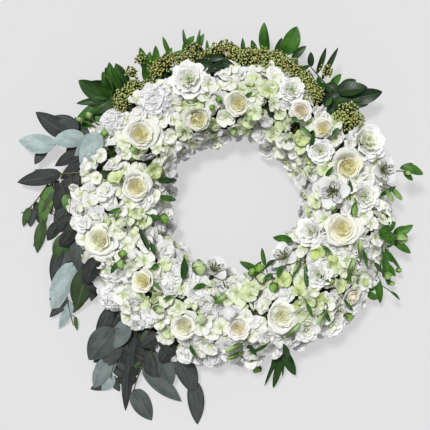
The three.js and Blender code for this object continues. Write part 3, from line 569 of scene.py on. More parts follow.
def leaf_mat(name, dark0, light0, dark1, light1, rough, veins=0.18, nveins=8.0, slant=0.55, coat=0.0, trans=0.12, bump=0.5, mottle=0.12, midrib=(0.3, 0.38, 0.2), spec=0.5, k_power=1.0):
    """Leaves with a midrib and side veins; set 0 to set 1 by shade."""
    m, nt = nodes_of(name)
    sh = Sheet(nt)
    big = noise(nt, mathn(nt, "ADD", sh.x4, 3.1), sh.y4, 2.6, 4.0, 0.6)
    fine = noise(nt, mathn(nt, "MULTIPLY", sh.x4, 9.0), mathn(nt, "MULTIPLY", sh.y4, 9.0), 2.0, 2.0, 0.6)
    tone = ramp(nt, big, 0, 1, 0.3, 0.7)
    c = mixc(nt, mathn(nt, "POWER", sh.k, k_power), mixc(nt, tone, dark0, light0), mixc(nt, tone, dark1, light1))
    # side veins run outwards and towards the tip
    ph = mathn(nt, "MULTIPLY", mathn(nt, "SUBTRACT", sh.t, mathn(nt, "MULTIPLY", sh.s, slant * 0.28)), nveins)
    tri = mathn(nt, "ABSOLUTE", mathn(nt, "SUBTRACT", mathn(nt, "FRACT", ph), 0.5))
    line = ramp(nt, tri, 1, 0, 0.0, 0.09)
    rib = ramp(nt, sh.s, 1, 0, 0.0, 0.075)
    fade = ramp(nt, sh.s, 1, 0, 0.5, 1.0)
    lines = mathn(nt, "MAXIMUM", mathn(nt, "MULTIPLY", mathn(nt, "MULTIPLY", line, fade), 0.5), rib)
    c = mixc(nt, mathn(nt, "MULTIPLY", lines, veins * 2.2, clamp=True), c, midrib)
    c = mixc(nt, 1.0, c, grey(nt, ramp(nt, fine, 1 - mottle, 1 + mottle * 0.5, 0.3, 0.7)), "MULTIPLY")
    h = mathn(nt, "ADD", mathn(nt, "MULTIPLY", lines, -1.0), mathn(nt, "MULTIPLY", fine, 0.35))
    rs = ramp(nt, fine, rough * 0.8, rough * 1.25, 0.3, 0.7)
    return finish_mat(m, nt, c, rough, h, bump, 0.0006, trans, coat=coat, spec=spec, rough_socket=rs)

# ------------------------------------------------------------------ the materials
ROSE_M = petal_mat("rose petal", (0.985, 0.93, 0.52), (0.995, 0.97, 0.70), (0.96, 0.95, 0.80), (0.98, 0.98, 0.96), 0.05, 0.7, rough=0.5, trans=0.34, vein=0.05, bump=0.4, edge=(0.99, 0.975, 0.84))
ROSEP_M = petal_mat("peach rose petal", (0.985, 0.88, 0.64), (0.995, 0.95, 0.80), (0.97, 0.94, 0.84), (0.98, 0.97, 0.95), 0.05, 0.7, rough=0.5, trans=0.26, vein=0.04, bump=0.3, edge=(0.99, 0.96, 0.86))
ROSEG_M = petal_mat("pale rose petal", (0.96, 0.95, 0.66), (0.985, 0.98, 0.82), (0.95, 0.96, 0.84), (0.975, 0.98, 0.95), 0.05, 0.7, rough=0.5, trans=0.26, vein=0.04, bump=0.3, edge=(0.98, 0.98, 0.88))
LIS_M = petal_mat("lisianthus petal", (0.60, 0.68, 0.30), (0.92, 0.94, 0.76), (0.86, 0.87, 0.80), (0.98, 0.98, 0.98), 0.05, 0.6, rough=0.55, trans=0.22, vein=0.08, bump=0.7)
STOCK_M = petal_mat("stock petal", (0.60, 0.70, 0.40), (0.92, 0.93, 0.86), (0.94, 0.95, 0.90), (0.99, 0.99, 0.99), 0.0, 0.5, rough=0.6, trans=0.36, vein=0.04, bump=0.4)
HYD_M = petal_mat("hydrangea petal", (0.30, 0.42, 0.05), (0.64, 0.76, 0.26), (0.66, 0.73, 0.42), (0.975, 0.97, 0.95), 0.0, 0.50, rough=0.6, trans=0.14, vein=0.13, bump=0.9, blotch=0.10)
# Greyer lilac-white petals for florets that lay in shade: painted shade, partly the lilac tint of the petals.
SHADE_M = petal_mat("hydrangea petal in painted shade", (0.38, 0.40, 0.30), (0.66, 0.66, 0.67), (0.56, 0.57, 0.54), (0.88, 0.87, 0.90), 0.0, 0.6, rough=0.65, trans=0.12, vein=0.16, bump=0.9, blotch=0.10, edge=(0.95, 0.95, 0.97))
BUD_M = petal_mat("green bud", (0.05, 0.15, 0.01), (0.20, 0.42, 0.04), (0.26, 0.42, 0.07), (0.88, 0.92, 0.68), 0.10, 0.75, rough=0.4, trans=0.06, vein=0.34, bump=0.4, k_power=1.5)
# Beads darker at the base and lighter at the tip: painted shade at the base and painted highlight at the tip, over the
# beads' own red-brown and green.
BEAD_M = petal_mat("flower bead", (0.04, 0.022, 0.008), (0.30, 0.19, 0.06), (0.016, 0.045, 0.006), (0.54, 0.66, 0.20), 0.25, 0.9, rough=0.42, trans=0.0, vein=0.05, bump=0.2, k_power=1.0)
STEM_M = leaf_mat("stem", (0.05, 0.10, 0.02), (0.14, 0.22, 0.05), (0.035, 0.024, 0.016), (0.13, 0.09, 0.055), 0.5, veins=0.0, trans=0.0, bump=0.2)
# Glossy leaves: the near-black end of the shades is painted shade for leaves in shade and for dark fill in gaps; the
# greens are the leaves' own colour.
GLOSSY_M = leaf_mat("glossy leaf", (0.002, 0.008, 0.003), (0.010, 0.032, 0.008), (0.022, 0.095, 0.007), (0.085, 0.260, 0.018), 0.45, veins=0.20, nveins=9.0, coat=0.05, trans=0.06, bump=0.35, midrib=(0.09, 0.18, 0.05), spec=0.28)
# Eucalyptus leaves, grey and green: the shades run from near black for leaves in shade to pale for leaves facing the
# light: painted light and shade, partly the leaves' own tones.
EUC_M = leaf_mat("eucalyptus leaf", (0.010, 0.011, 0.010), (0.036, 0.038, 0.034), (0.31, 0.40, 0.39), (0.50, 0.60, 0.59), 0.68, veins=0.12, nveins=10.0, slant=0.9, trans=0.08, bump=0.3, midrib=(0.22, 0.26, 0.22), spec=0.28, k_power=1.55)
EUCG_M = leaf_mat("eucalyptus green leaf", (0.010, 0.018, 0.010), (0.030, 0.046, 0.024), (0.06, 0.17, 0.025), (0.16, 0.32, 0.06), 0.55, veins=0.16, nveins=10.0, slant=0.9, trans=0.08, bump=0.3, midrib=(0.22, 0.34, 0.14))
# Near-black leaves under the florets: their darkness is painted shade in the gaps, partly the dark green of the
# leaves.
UNDER_M = leaf_mat("under leaf", (0.004, 0.010, 0.003), (0.010, 0.026, 0.007), (0.024, 0.052, 0.010), (0.055, 0.105, 0.022), 0.5, veins=0.2, trans=0.05, bump=0.4, midrib=(0.08, 0.16, 0.05))


def alstro_mat():
    m, nt = nodes_of("alstroemeria petal")
    sh = Sheet(nt)
    tt = ramp(nt, sh.t, 0, 1, 0.05, 0.7)
    c = mixc(nt, sh.k, mixc(nt, tt, (0.46, 0.52, 0.24), (0.84, 0.84, 0.82)), mixc(nt, tt, (0.60, 0.64, 0.34), (0.93, 0.93, 0.95)))
    # green tip on every tepal, dark strokes on the inner ones (shades 0 to 7)
    tip = mathn(nt, "MULTIPLY", ramp(nt, sh.t, 0, 1, 0.88, 1.0), ramp(nt, sh.s, 1, 0, 0.0, 0.45))
    c = mixc(nt, mathn(nt, "MULTIPLY", tip, 0.7), c, (0.34, 0.48, 0.12))
    lane = noise(nt, mathn(nt, "MULTIPLY", sh.u, 9.0), mathn(nt, "MULTIPLY", sh.t, 2.2), 1.0, 2.0, 0.5)
    streak = ramp(nt, lane, 0, 1, 0.52, 0.57)
    zone = mathn(nt, "MULTIPLY", ramp(nt, sh.t, 0, 1, 0.12, 0.22), ramp(nt, sh.t, 1, 0, 0.72, 0.92))
    inner = ramp(nt, sh.k, 1, 0, 0.45, 0.55)
    c = mixc(nt, mathn(nt, "MULTIPLY", mathn(nt, "MULTIPLY", streak, zone), inner), c, (0.035, 0.018, 0.025))
    lines = noise(nt, mathn(nt, "MULTIPLY", sh.u, 11.0), mathn(nt, "MULTIPLY", sh.t, 1.4), 1.3, 2.0, 0.5)
    c = mixc(nt, 1.0, c, grey(nt, ramp(nt, lines, 0.88, 1.03, 0.3, 0.7)), "MULTIPLY")
    return finish_mat(m, nt, c, 0.5, lines, 0.4, 0.0005, 0.22)


ALS_M = alstro_mat()


def cad_material(name, c0, c1, rough, scale, bump, pit_shade=0.0, coat=0.0):
    """A material for a CAD solid, by position: grain, cells, and painted shade in the cells' pits."""
    m, nt = nodes_of(name)
    co = nt.nodes.new("ShaderNodeTexCoord").outputs["Object"]
    n1 = nt.nodes.new("ShaderNodeTexNoise")
    n1.inputs["Scale"].default_value = scale
    n1.inputs["Detail"].default_value = 6.0
    link(nt, co, n1.inputs["Vector"])
    n2 = nt.nodes.new("ShaderNodeTexVoronoi")
    n2.inputs["Scale"].default_value = scale * 4
    link(nt, co, n2.inputs["Vector"])
    c = mixc(nt, ramp(nt, n1.outputs["Fac"], 0, 1, 0.35, 0.65), c0, c1)
    if pit_shade:
        # painted shade: the pits' centres darkened towards 0.3 of the base colour
        c = mixc(nt, ramp(nt, n2.outputs["Distance"], pit_shade, 0, 0.0, 0.35), c, tuple(v * 0.3 for v in c0))
    h = mathn(nt, "ADD", n1.outputs["Fac"], mathn(nt, "MULTIPLY", n2.outputs["Distance"], 1.5))
    return finish_mat(m, nt, c, rough, h, bump, 0.0006, 0.0, coat=coat, rough_socket=ramp(nt, n1.outputs["Fac"], rough * 0.85, rough * 1.15, 0.3, 0.7))


FOAM_M = cad_material("floral foam", (0.012, 0.035, 0.014), (0.030, 0.070, 0.026), 0.9, 420.0, 0.6, pit_shade=0.7)
TRAY_M = cad_material("tray plastic", (0.010, 0.022, 0.013), (0.016, 0.034, 0.020), 0.42, 160.0, 0.15, coat=0.1)
for nm, mt in (("foam_ring", FOAM_M), ("tray", TRAY_M)):
    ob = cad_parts[nm]
    if not ob.material_slots:
        ob.data.materials.append(None)
    for sl in ob.material_slots:
        sl.link = "OBJECT"
        sl.material = mt

PIECES = []


def emit(g, name, mats, node):
    ob = g.piece(name, mats)
    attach(ob, "root")
    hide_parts(node)
    PIECES.append(ob)
    return ob


# ------------------------------------------------------------------ flower heads
def stem_to_foam(g, c, n, depth, r, mat, k=2):
    """The stem from a head's back into the foam, as in the frame."""
    c, n = np.asarray(c, float), unit(n)
    back = c - n * depth
    ang = math.atan2(back[1], back[0])
    aim = np.array([RING * math.cos(ang), RING * math.sin(ang), STEM_AIM])
    d = unit(aim - back)
    # where it meets the foam's outline
    p = back.copy()
    for _ in range(400):
        u = abs(math.hypot(p[0], p[1]) - RING)
        top = FOAM_TOP if u < FOAM_CREST / 2 else FOAM_TOP - (FOAM_TOP - FOAM_SHOULDER) * (u - FOAM_CREST / 2) / (FOAM_HALF - FOAM_CREST / 2)
        if u < FOAM_HALF and p[2] < top:
            break
        p = p + d * 0.5
    tube(g, [back + n * 2, back, (back + p) / 2 + n * 0.5, p + d * STEM_IN * 0.9], r, r, mat, 6, k, sub=2)


def rose(g, c, n, R, seed, openness=1.0, heart=0.0, cream=0.0, mat=0):
    q = np.random.default_rng(seed)
    B = basis(n, spin=q.uniform(0, 6.28))
    o = openness
    layers = [   # petals, width, middle line, corner, spiral, shades, rim roll
        (3, 2.9, [(0.02, -0.16), (0.07, -0.08), (0.085, 0.08), (0.03, 0.19)], 0.25, 0.26, (0, 3), 0.0),
        (3, 2.6, [(0.03, -0.22), (0.15, -0.12), (0.18, 0.07), (0.13, 0.18)], 0.25, 0.26, (1, 4), 0.0),
        (4, 2.3, [(0.04, -0.30), (0.25, -0.18), (0.28, 0.06), (0.25, 0.16)], 0.24, 0.20, (1, 4), 0.0),
        (4, 2.2, [(0.05, -0.42), (0.36, -0.28), (0.39, 0.04), (0.40, 0.13)], 0.24, 0.18, (3, 6), 0.03),
        (4, 2.1, [(0.06, -0.56), (0.50, -0.42), (0.51, 0.04), (0.60, 0.06)], 0.22, 0.14, (5, 9), 0.06),
        (5, 1.85, [(0.07, -0.78), (0.62, -0.66), (0.62, 0.0), (0.84, -0.10)], 0.20, 0.10, (9, 14), 0.09),
        (5, 1.80, [(0.08, -1.05), (0.80, -0.95), (0.78, -0.14), (1.10, -0.30)], 0.18, 0.05, (13, 15), 0.11),
    ]
    last = len(layers) - 1
    phi = q.uniform(0, 6.28)
    for li, (cnt, W, prof, corner, spiral, (k0, k1), roll) in enumerate(layers):
        phi += 0.9 + q.uniform(-0.3, 0.3)
        for j in range(cnt):
            w = 1 + q.uniform(-0.05, 0.05) + (0.08 * q.uniform(-1, 1) if li > 3 else 0)
            flare = (li / last) ** 2 * q.uniform(-0.17, 0.17) * o
            pr = []
            for i, (r, z) in enumerate(prof):
                rr = r * w * (1 + (o - 1) * 0.25 * (i == 3) * (li > 2))
                zz = z + (i == 3) * (flare * -0.7 - (o - 1) * 0.12 * (li > 3)) + (i == 3) * q.uniform(-0.03, 0.03) + (i == 2) * (li > 3) * q.uniform(-0.08, 0.05)
                pr.append(((rr + (i == 3) * flare) * R, zz * R))
            k = int(np.clip(q.integers(k0, k1 + 1) - cream * 4 * (li < 6) - heart * 1.5 * (li < 4), 0, 15))
            cup_petal(g, c, B, phi + j * 2 * math.pi / cnt + q.uniform(-0.15, 0.15), W * q.uniform(0.92, 1.1), pr,
                      corner, R * (0.012 + 0.045 * li / last), spiral, k, mat, 12 if li > 2 else 8, 10,
                      edge=R * roll, tipup=0.035 if li > 3 else 0.0, phase=q.uniform(0, 6.28), freq=1.4)
    # calyx: five green sepals under the head
    for j in range(5):
        a = j * 2 * math.pi / 5 + 0.4
        d = B @ np.array([math.cos(a), math.sin(a), 0.75])
        blade(g, np.asarray(c) - unit(n) * R * 1.25, d, unit(n), R * 0.75, R * 0.28, 6, mat + 1, 3, 5, cup=-R * 0.04, tip_power=0.9, peak=0.3)
    stem_to_foam(g, c, n, R * 1.2, 2.0, mat + 1)


def lisianthus(g, c, n, R, seed, heart=0.0, dark=0.0, mat=0):
    q = np.random.default_rng(seed)
    B = basis(n, spin=q.uniform(0, 6.28))
    layers = [
        (3, 2.7, [(0.03, -0.40), (0.16, -0.24), (0.20, -0.02), (0.20, 0.09)], 0.2, 0.30, (4, 9)),
        (3, 2.6, [(0.04, -0.52), (0.38, -0.36), (0.42, 0.02), (0.50, 0.05)], 0.2, 0.24, (9, 13)),
        (4, 2.2, [(0.05, -0.74), (0.58, -0.56), (0.62, 0.0), (0.80, -0.06)], 0.2, 0.14, (12, 15)),
        (5, 1.9, [(0.06, -0.94), (0.74, -0.80), (0.80, -0.18), (1.04, -0.26)], 0.18, 0.08, (13, 15)),
    ]
    phi = 0.0
    for li, (cnt, W, prof, corner, spiral, (k0, k1)) in enumerate(layers):
        phi += 0.8
        for j in range(cnt):
            pr = [(r * R * q.uniform(0.93, 1.06), (z + (i == 3) * q.uniform(-0.08, 0.08)) * R) for i, (r, z) in enumerate(prof)]
            k = int(np.clip(q.integers(k0, k1 + 1) - heart * 5 * (li < 2), 0, 15))
            cup_petal(g, c, B, phi + j * 2 * math.pi / cnt + q.uniform(-0.25, 0.25), W * q.uniform(0.9, 1.12), pr,
                      corner, R * (0.045 + 0.045 * li / 3), spiral, k, mat, 14, 10, edge=R * 0.06,
                      phase=q.uniform(0, 6.28), freq=2.4)
    for j in range(5):                                   # the yellow-green pistil and stamens
        a = j * 1.257
        p = np.asarray(c) + B @ np.array([0.07 * R * math.cos(a), 0.07 * R * math.sin(a), -0.22 * R])
        egg(g, p, B @ np.array([math.cos(a) * 0.4, math.sin(a) * 0.4, 1.0]), R * 0.05, R * 0.22, mat + 2, 6, 5, 4)
    for j in range(5):
        a = j * 1.257 + 0.5
        d = B @ np.array([math.cos(a), math.sin(a), 0.6])
        blade(g, np.asarray(c) - unit(n) * R * 1.0, d, unit(n), R * 0.8, R * 0.16, 5, mat + 1, 2, 4, tip_power=1.0, peak=0.25)
    stem_to_foam(g, c, n, R * 0.95, 1.7, mat + 1)


def ruffle(g, c, n, r, q, k0, k1, mat, petals=9, seg=5, crumple=1.0):
    """A small double floret with crumpled petals."""
    B = basis(n, spin=q.uniform(0, 6.28))
    for j in range(petals):
        ring = j / petals
        a = j * 2.399963 + q.uniform(-0.3, 0.3)
        lean = 0.45 + 0.95 * ring ** 0.7
        d = B @ np.array([math.cos(a) * math.sin(lean), math.sin(a) * math.sin(lean), math.cos(lean)])
        up = B @ np.array([-math.cos(a) * math.cos(lean), -math.sin(a) * math.cos(lean), math.sin(lean)])
        L = r * (0.62 + 0.5 * ring) * q.uniform(0.9, 1.12)
        base = np.asarray(c) - unit(n) * r * 0.5 + (B @ np.array([math.cos(a), math.sin(a), 0])) * r * 0.10 * ring
        blade(g, base, d, up, L, r * q.uniform(0.95, 1.3), int(q.integers(k0, k1 + 1)), mat, seg, seg,
              cup=r * q.uniform(0.0, 0.14) * crumple, wave=r * 0.06 * crumple, phase=q.uniform(0, 6.28), peak=0.70, power=0.7, tip_power=0.42,
              droop=r * 0.32 * ring, claw=0.15, twist=q.uniform(-0.2, 0.2), frill=r * 0.065 * crumple)


def stock(g, c, n, R, seed, mat=0):
    q = np.random.default_rng(seed)
    c, n = np.asarray(c, float), unit(n)
    B = basis(n)
    cnt = 7
    for j in range(cnt):
        f = j / (cnt - 1)
        th = 0.0 if j == 0 else q.uniform(0.85, 1.1)
        a = j * 2 * math.pi / (cnt - 1)
        d = B @ np.array([math.cos(a) * math.sin(th), math.sin(a) * math.sin(th), math.cos(th)])
        centre = c - n * R * 0.72 + d * R * 0.80 * q.uniform(0.95, 1.04)
        ruffle(g, centre, d, R * q.uniform(0.56, 0.64), q, 14, 15, mat, 10, 8, 0.5)
    for j in range(6):
        a = j * 1.05
        d = B @ np.array([math.cos(a), math.sin(a), -0.1])
        blade(g, c - n * R * 1.0, d, n, R * 0.9, R * 0.3, 5, mat + 1, 3, 5, tip_power=0.9, peak=0.4)
    stem_to_foam(g, c, n, R * 1.05, 2.4, mat + 1)


def alstroemeria(g, c, n, R, seed, mat=0):
    q = np.random.default_rng(seed)
    c, n = np.asarray(c, float), unit(n)
    B = basis(n, spin=q.uniform(0, 6.28))
    base = c - n * R * 0.42
    for j in range(6):
        a = j * math.pi / 3
        outer = j % 2 == 0
        lean = 0.95 if outer else 0.78
        d = B @ np.array([math.cos(a) * math.sin(lean), math.sin(a) * math.sin(lean), math.cos(lean)])
        up = B @ np.array([-math.cos(a) * math.cos(lean), -math.sin(a) * math.cos(lean), math.sin(lean)])
        blade(g, base, d, up, R * (1.12 if outer else 1.05), R * (0.92 if outer else 0.60), int(q.integers(9, 16)) if outer else int(q.integers(0, 6)), mat, 8, 10,
              cup=R * 0.12, droop=R * (0.22 if outer else 0.10), peak=0.60, power=0.7, tip_power=0.62, claw=0.34, wave=R * 0.05, phase=q.uniform(0, 6), arch=R * 0.06)
    for j in range(7):
        a = j * 0.9 + 0.4
        p1 = base + B @ np.array([math.cos(a) * R * 0.12, math.sin(a) * R * 0.12, R * 0.25])
        p2 = base + B @ np.array([math.cos(a) * R * 0.30, math.sin(a) * R * 0.30, R * 0.56])
        tube(g, [base, p1, p2], R * 0.022, R * 0.016, mat + 1, 4, 12, sub=3)
        egg(g, p2, B @ np.array([math.cos(a), math.sin(a), 0.4]), R * 0.05, R * 0.16, mat + 1, 13, 5, 4)
    stem_to_foam(g, c, n, R * 0.9, 1.6, mat + 1)


def floret(g, c, n, D, q, k0, k1, mat, seg=4, beadmat=2, flat=0.0, curl=1.0):
    """Four round sepals round a tiny bead."""
    B = basis(n, spin=q.uniform(0, 6.28))
    c = np.asarray(c, float)
    for j in range(4):
        a = j * math.pi / 2 + q.uniform(-0.16, 0.16)
        lean = q.uniform(0.95, 1.45) - flat
        d = B @ np.array([math.cos(a) * math.sin(lean), math.sin(a) * math.sin(lean), math.cos(lean)])
        up = B @ np.array([-math.cos(a) * math.cos(lean), -math.sin(a) * math.cos(lean), math.sin(lean)])
        L = D * 0.5 * q.uniform(0.88, 1.1)
        blade(g, c + d * 0.2, d, up, L, L * q.uniform(1.05, 1.3), int(q.integers(k0, k1 + 1)), mat, seg, seg,
              cup=D * q.uniform(-0.06, 0.10) * curl, droop=D * q.uniform(-0.06, 0.15) * curl, wave=D * 0.06, phase=q.uniform(0, 6.28),
              peak=q.uniform(0.50, 0.68), power=0.6, tip_power=q.uniform(0.42, 0.85), claw=0.22, twist=q.uniform(-0.5, 0.5), frill=D * 0.06)
    egg(g, c + unit(n) * D * 0.02, n, D * 0.045, D * 0.07, beadmat, int(q.integers(4, 13)), 5, 3)


def bud(g, c, axis, r, length, k, mat, stemmat, calyx=True, ck=5, point=0.9, sepals=5, kc=None):
    c, axis = np.asarray(c, float), unit(axis)
    egg(g, c, axis, r * 0.94, length * 0.97, mat, max(k - 2, 0), 10, 8, point=point, bumpy=0.06)
    W = basis(axis, spin=0.7)
    for j in range(4):                                   # closed petals that overlap
        a = j * math.pi / 2
        out = W @ np.array([math.cos(a), math.sin(a), 0.0])
        side = W @ np.array([-math.sin(a), math.cos(a), 0.0])
        blade(g, c - axis * length * 0.47, unit(axis * length * 0.96 + side * r * 0.35), out, length * 1.0, r * (1.75 if length < 3.2 * r else 1.25), min(k + (j % 2) * 2, 15), mat, 6, 8,
              arch=r * 0.94, cup=-r * (0.42 if length < 3.2 * r else 0.3), tip_power=0.75, peak=0.48, power=0.6)
    if calyx:
        B = basis(axis)
        for j in range(sepals):
            a = j * 2 * math.pi / sepals
            out = B @ np.array([math.cos(a), math.sin(a), 0.0])
            d = unit(out * r * 0.55 + axis * length * 0.9)
            blade(g, c - axis * length * 0.52, d, out, length * (0.72 + 0.14 * (j % 2)), r * 1.0, ck, stemmat, 4, 7,
                  arch=r * 0.78, cup=-r * 0.22, tip_power=0.95, peak=0.35, droop=-r * 0.15)


# ------------------------------------------------------------------ the flowers, one piece each
HEADS = []       # centre, axis, radius of everything that florets keep clear of
for t, f in ((ROSES, 1.02), (LISIANTHUS, 1.0), (STOCKS, 1.08), (ALSTROEMERIA, 0.8), (BEADS, 0.95)):
    for (x, y, z, R, nx, ny, nz) in t:
        HEADS.append((np.array([x, y, z]), unit((nx, ny, nz)), R * f))

ROSE_SETUP = {  # index: (openness, heart, cream)
    0: (1.0, 0.3, 0.0), 1: (0.9, 0.5, 0.1), 2: (0.95, 0.4, 0.2), 3: (0.9, 0.6, 0.2), 4: (0.8, 0.3, 0.2), 5: (1.1, 0.2, 0.9),
    6: (1.15, -0.3, 0.1), 7: (1.05, -0.6, 0.9), 8: (0.8, 0.8, 0.5), 9: (1.0, -0.2, 0.7), 10: (1.0, -0.4, 0.4), 11: (1.15, -0.5, 1.0), 12: (0.95, 0.2, 0.1), 13: (0.9, 0.6, 0.7),
}
for i, (x, y, z, R, nx, ny, nz) in enumerate(ROSES):
    g = Geo()
    o, h, cr = ROSE_SETUP[i]
    rose(g, (x, y, z), (nx, ny, nz), R * 0.88, 100 + i, o, h, cr)
    petals = ROSEP_M if i in (3, 8, 13) else ROSEG_M if i in (7, 9, 11) else ROSE_M
    emit(g, "rose_%02d_petals" % (i + 1), [petals, STEM_M], "rose_%02d" % (i + 1))

for i, (x, y, z, R, nx, ny, nz) in enumerate(LISIANTHUS):
    g = Geo()
    lisianthus(g, (x, y, z), (nx, ny, nz), R * 1.07, 200 + i, heart=0.9 if i == 4 else 0.2)
    emit(g, "lisianthus_%02d_petals" % (i + 1), [LIS_M, STEM_M, BUD_M], "lisianthus_%02d" % (i + 1))

for i, (x, y, z, R, nx, ny, nz) in enumerate(STOCKS):
    g = Geo()
    stock(g, (x, y, z), (nx, ny, nz), R * (1.25 if i == 0 else 1.12), 300 + i)
    emit(g, "stock_%02d_florets" % (i + 1), [STOCK_M, STEM_M], "stock_%02d" % (i + 1))

for i, (x, y, z, R, nx, ny, nz) in enumerate(ALSTROEMERIA):
    g = Geo()
    alstroemeria(g, (x, y, z), (nx, ny, nz), R * 1.18, 400 + i)
    if x > 200 and y > 30:           # a leafy bud beside the flower on the right edge
        foot = np.array([x, y, z]) - unit((nx, ny, nz)) * R * 0.9
        tube(g, [foot, (x + 20, y - 1, z - 14), (276, 53, z - 12)], 1.2, 1.0, 1, 5, 5)
        bud(g, (276, 52, z - 9), (1, -0.3, 0.5), 4.6, 13, 4, 2, 1, ck=5)
        blade(g, (268, 62, z - 10), unit((1.0, -0.38, 0.05)), (0, 0.2, 1), 36, 15, 12, 3, 8, 12, cup=0.8, arch=2.0, tip_power=0.8, peak=0.45, power=0.6, droop=3.0, wave=0.5, fold=1.2)
        blade(g, (264, 58, z - 12), unit((1.0, 0.35, -0.1)), (0, -0.2, 1), 24, 10, 9, 3, 6, 10, cup=0.6, arch=1.5, tip_power=0.85, peak=0.42, power=0.6, droop=2.0, wave=0.4, fold=1.0)
        blade(g, (270, 54, z - 12), unit((0.8, -0.8, -0.1)), (0, -0.2, 1), 22, 9, 6, 3, 6, 10, cup=0.6, arch=1.5, tip_power=0.85, peak=0.42, power=0.6, droop=2.0, wave=0.4, fold=1.0)
    emit(g, "alstroemeria_%02d_petals" % (i + 1), [ALS_M, STEM_M, BUD_M, GLOSSY_M], "alstroemeria_%02d" % (i + 1))


def dome(x, y, lift=0.0):
    """Height and outward normal of the flower surface above a point of the ring."""
    rho = math.hypot(x, y)
    u = np.clip((rho - RING) / 84.0, -0.97, 0.97)
    z = 30 + 88 * math.sqrt(1 - u * u)
    er = np.array([x, y, 0]) / max(rho, 1e-6)
    n = unit(er * (u * 88 / (84 * math.sqrt(1 - u * u))) * 1.0 + np.array([0, 0, 1.0]))
    return z + lift, n


# beads: clusters [x, y, z, radius, reddish 0..1], each in the nearest bead piece
CLUSTERS = [
    (-177, 171, 84, 15, 0.1), (-157, 190, 84, 13, 0.1), (-165, 214, 66, 10, 0.25), (-152, 236, 58, 9, 0.8),
    (-114, 226, 70, 13, 0.5), (-126, 211, 72, 11, 0.2), (-104, 236, 64, 9, 0.5), (-66, 250, 68, 12, 1.0), (-60, 231, 76, 12, 0.3),
    (-30, 245, 78, 15, 0.8), (-12, 256, 68, 10, 0.3), (2, 238, 84, 13, 0.5), (20, 236, 92, 15, 0.4), (38, 232, 90, 13, 0.3), (46, 240, 84, 13, 0.1),
    (68, 236, 84, 14, 0.05), (86, 224, 92, 14, 0.1), (98, 210, 96, 14, 0.0), (112, 202, 92, 14, 0.05), (120, 188, 98, 13, 0.0), (132, 176, 96, 12, 0.0),
    (-135, 190, 80, 11, 0.1), (-128, 222, 66, 10, 0.3), (-88, 232, 74, 11, 0.3), (-76, 238, 70, 10, 0.6), (-44, 236, 80, 12, 0.5), (4, 246, 76, 11, 0.5),
    (30, 242, 82, 12, 0.3), (58, 230, 88, 13, 0.1), (76, 224, 92, 12, 0.1), (106, 196, 98, 13, 0.0), (126, 172, 100, 12, 0.1), (166, 138, 100, 12, 0.1), (-182, 158, 86, 11, 0.2), (-170, 182, 80, 12, 0.1),
    (150, 216, 70, 10, 0.2), (182, 146, 100, 17, 0.15), (194, 134, 94, 14, 0.1), (176, 132, 100, 13, 0.1),
]
bead_geo = [Geo() for _ in BEADS]
for ci, (x, y, z, r, red) in enumerate(CLUSTERS):
    j = int(np.argmin([(x - b[0]) ** 2 + (y - b[1]) ** 2 for b in BEADS]))
    g = bead_geo[j]
    q = np.random.default_rng(500 + ci)
    rho = math.hypot(x, y)
    n = unit((x / rho * 0.55, y / rho * 0.55, 1.0))
    B = basis(n)
    cnt = int(2.15 * r * r / 6.5)
    # a near-black core under the beads: painted shade in the gaps between them
    egg(g, np.array([x, y, z]) - n * r * 0.75, n, r * 0.60, r * 1.2, 2, 0, 10, 7)
    root = np.array([x, y, z]) - n * r * 1.3
    for i in range(cnt):
        f = (i + 0.5) / cnt
        th = 1.5 * math.sqrt(f)
        a = i * 2.399963 + q.uniform(-0.1, 0.1)
        d = B @ np.array([math.cos(a) * math.sin(th), math.sin(a) * math.sin(th), math.cos(th)])
        p = np.array([x, y, z]) - n * r * 0.5 + d * r * q.uniform(0.62, 1.2) + q.normal(0, 0.6, 3)
        br = q.uniform(1.25, 2.3)
        k = int(q.integers(0, 4)) if q.uniform() < red * 0.42 else int(q.integers(5, 16))
        egg(g, p, d, br, br * 2.2, 0, k, 6, 4, point=0.3)
        if i % 2 == 0:
            tube(g, [root + (p - root) * 0.35, p - d * br * 0.6], 0.5, 0.4, 1, 3, 4, cap=False, sub=1)
    tube(g, [root, root - n * 6], 1.4, 1.6, 1, 5, 3, sub=1)
for i, (x, y, z, R, nx, ny, nz) in enumerate(BEADS):
    stem_to_foam(bead_geo[i], (x, y, z), (nx, ny, nz), R * 0.9, 1.6, 1)
    # small leaves of the bead plant round the cluster
    q = np.random.default_rng(560 + i)
    for j in range(9):
        a = j * 0.72 + q.uniform(-0.2, 0.2)
        B = basis((nx, ny, nz))
        d = B @ np.array([math.cos(a), math.sin(a), q.uniform(-0.1, 0.25)])
        blade(bead_geo[i], np.array([x, y, z]) - unit((nx, ny, nz)) * R * 0.75, d, unit((nx, ny, nz)), R * q.uniform(1.0, 1.4), R * q.uniform(0.34, 0.5),
              int(q.integers(0, 9)), 2, 4, 6, cup=R * 0.06, tip_power=0.8, peak=0.45, droop=R * 0.12)
    emit(bead_geo[i], "beads_%02d_cluster" % (i + 1), [BEAD_M, STEM_M, GLOSSY_M], "beads_%02d" % (i + 1))

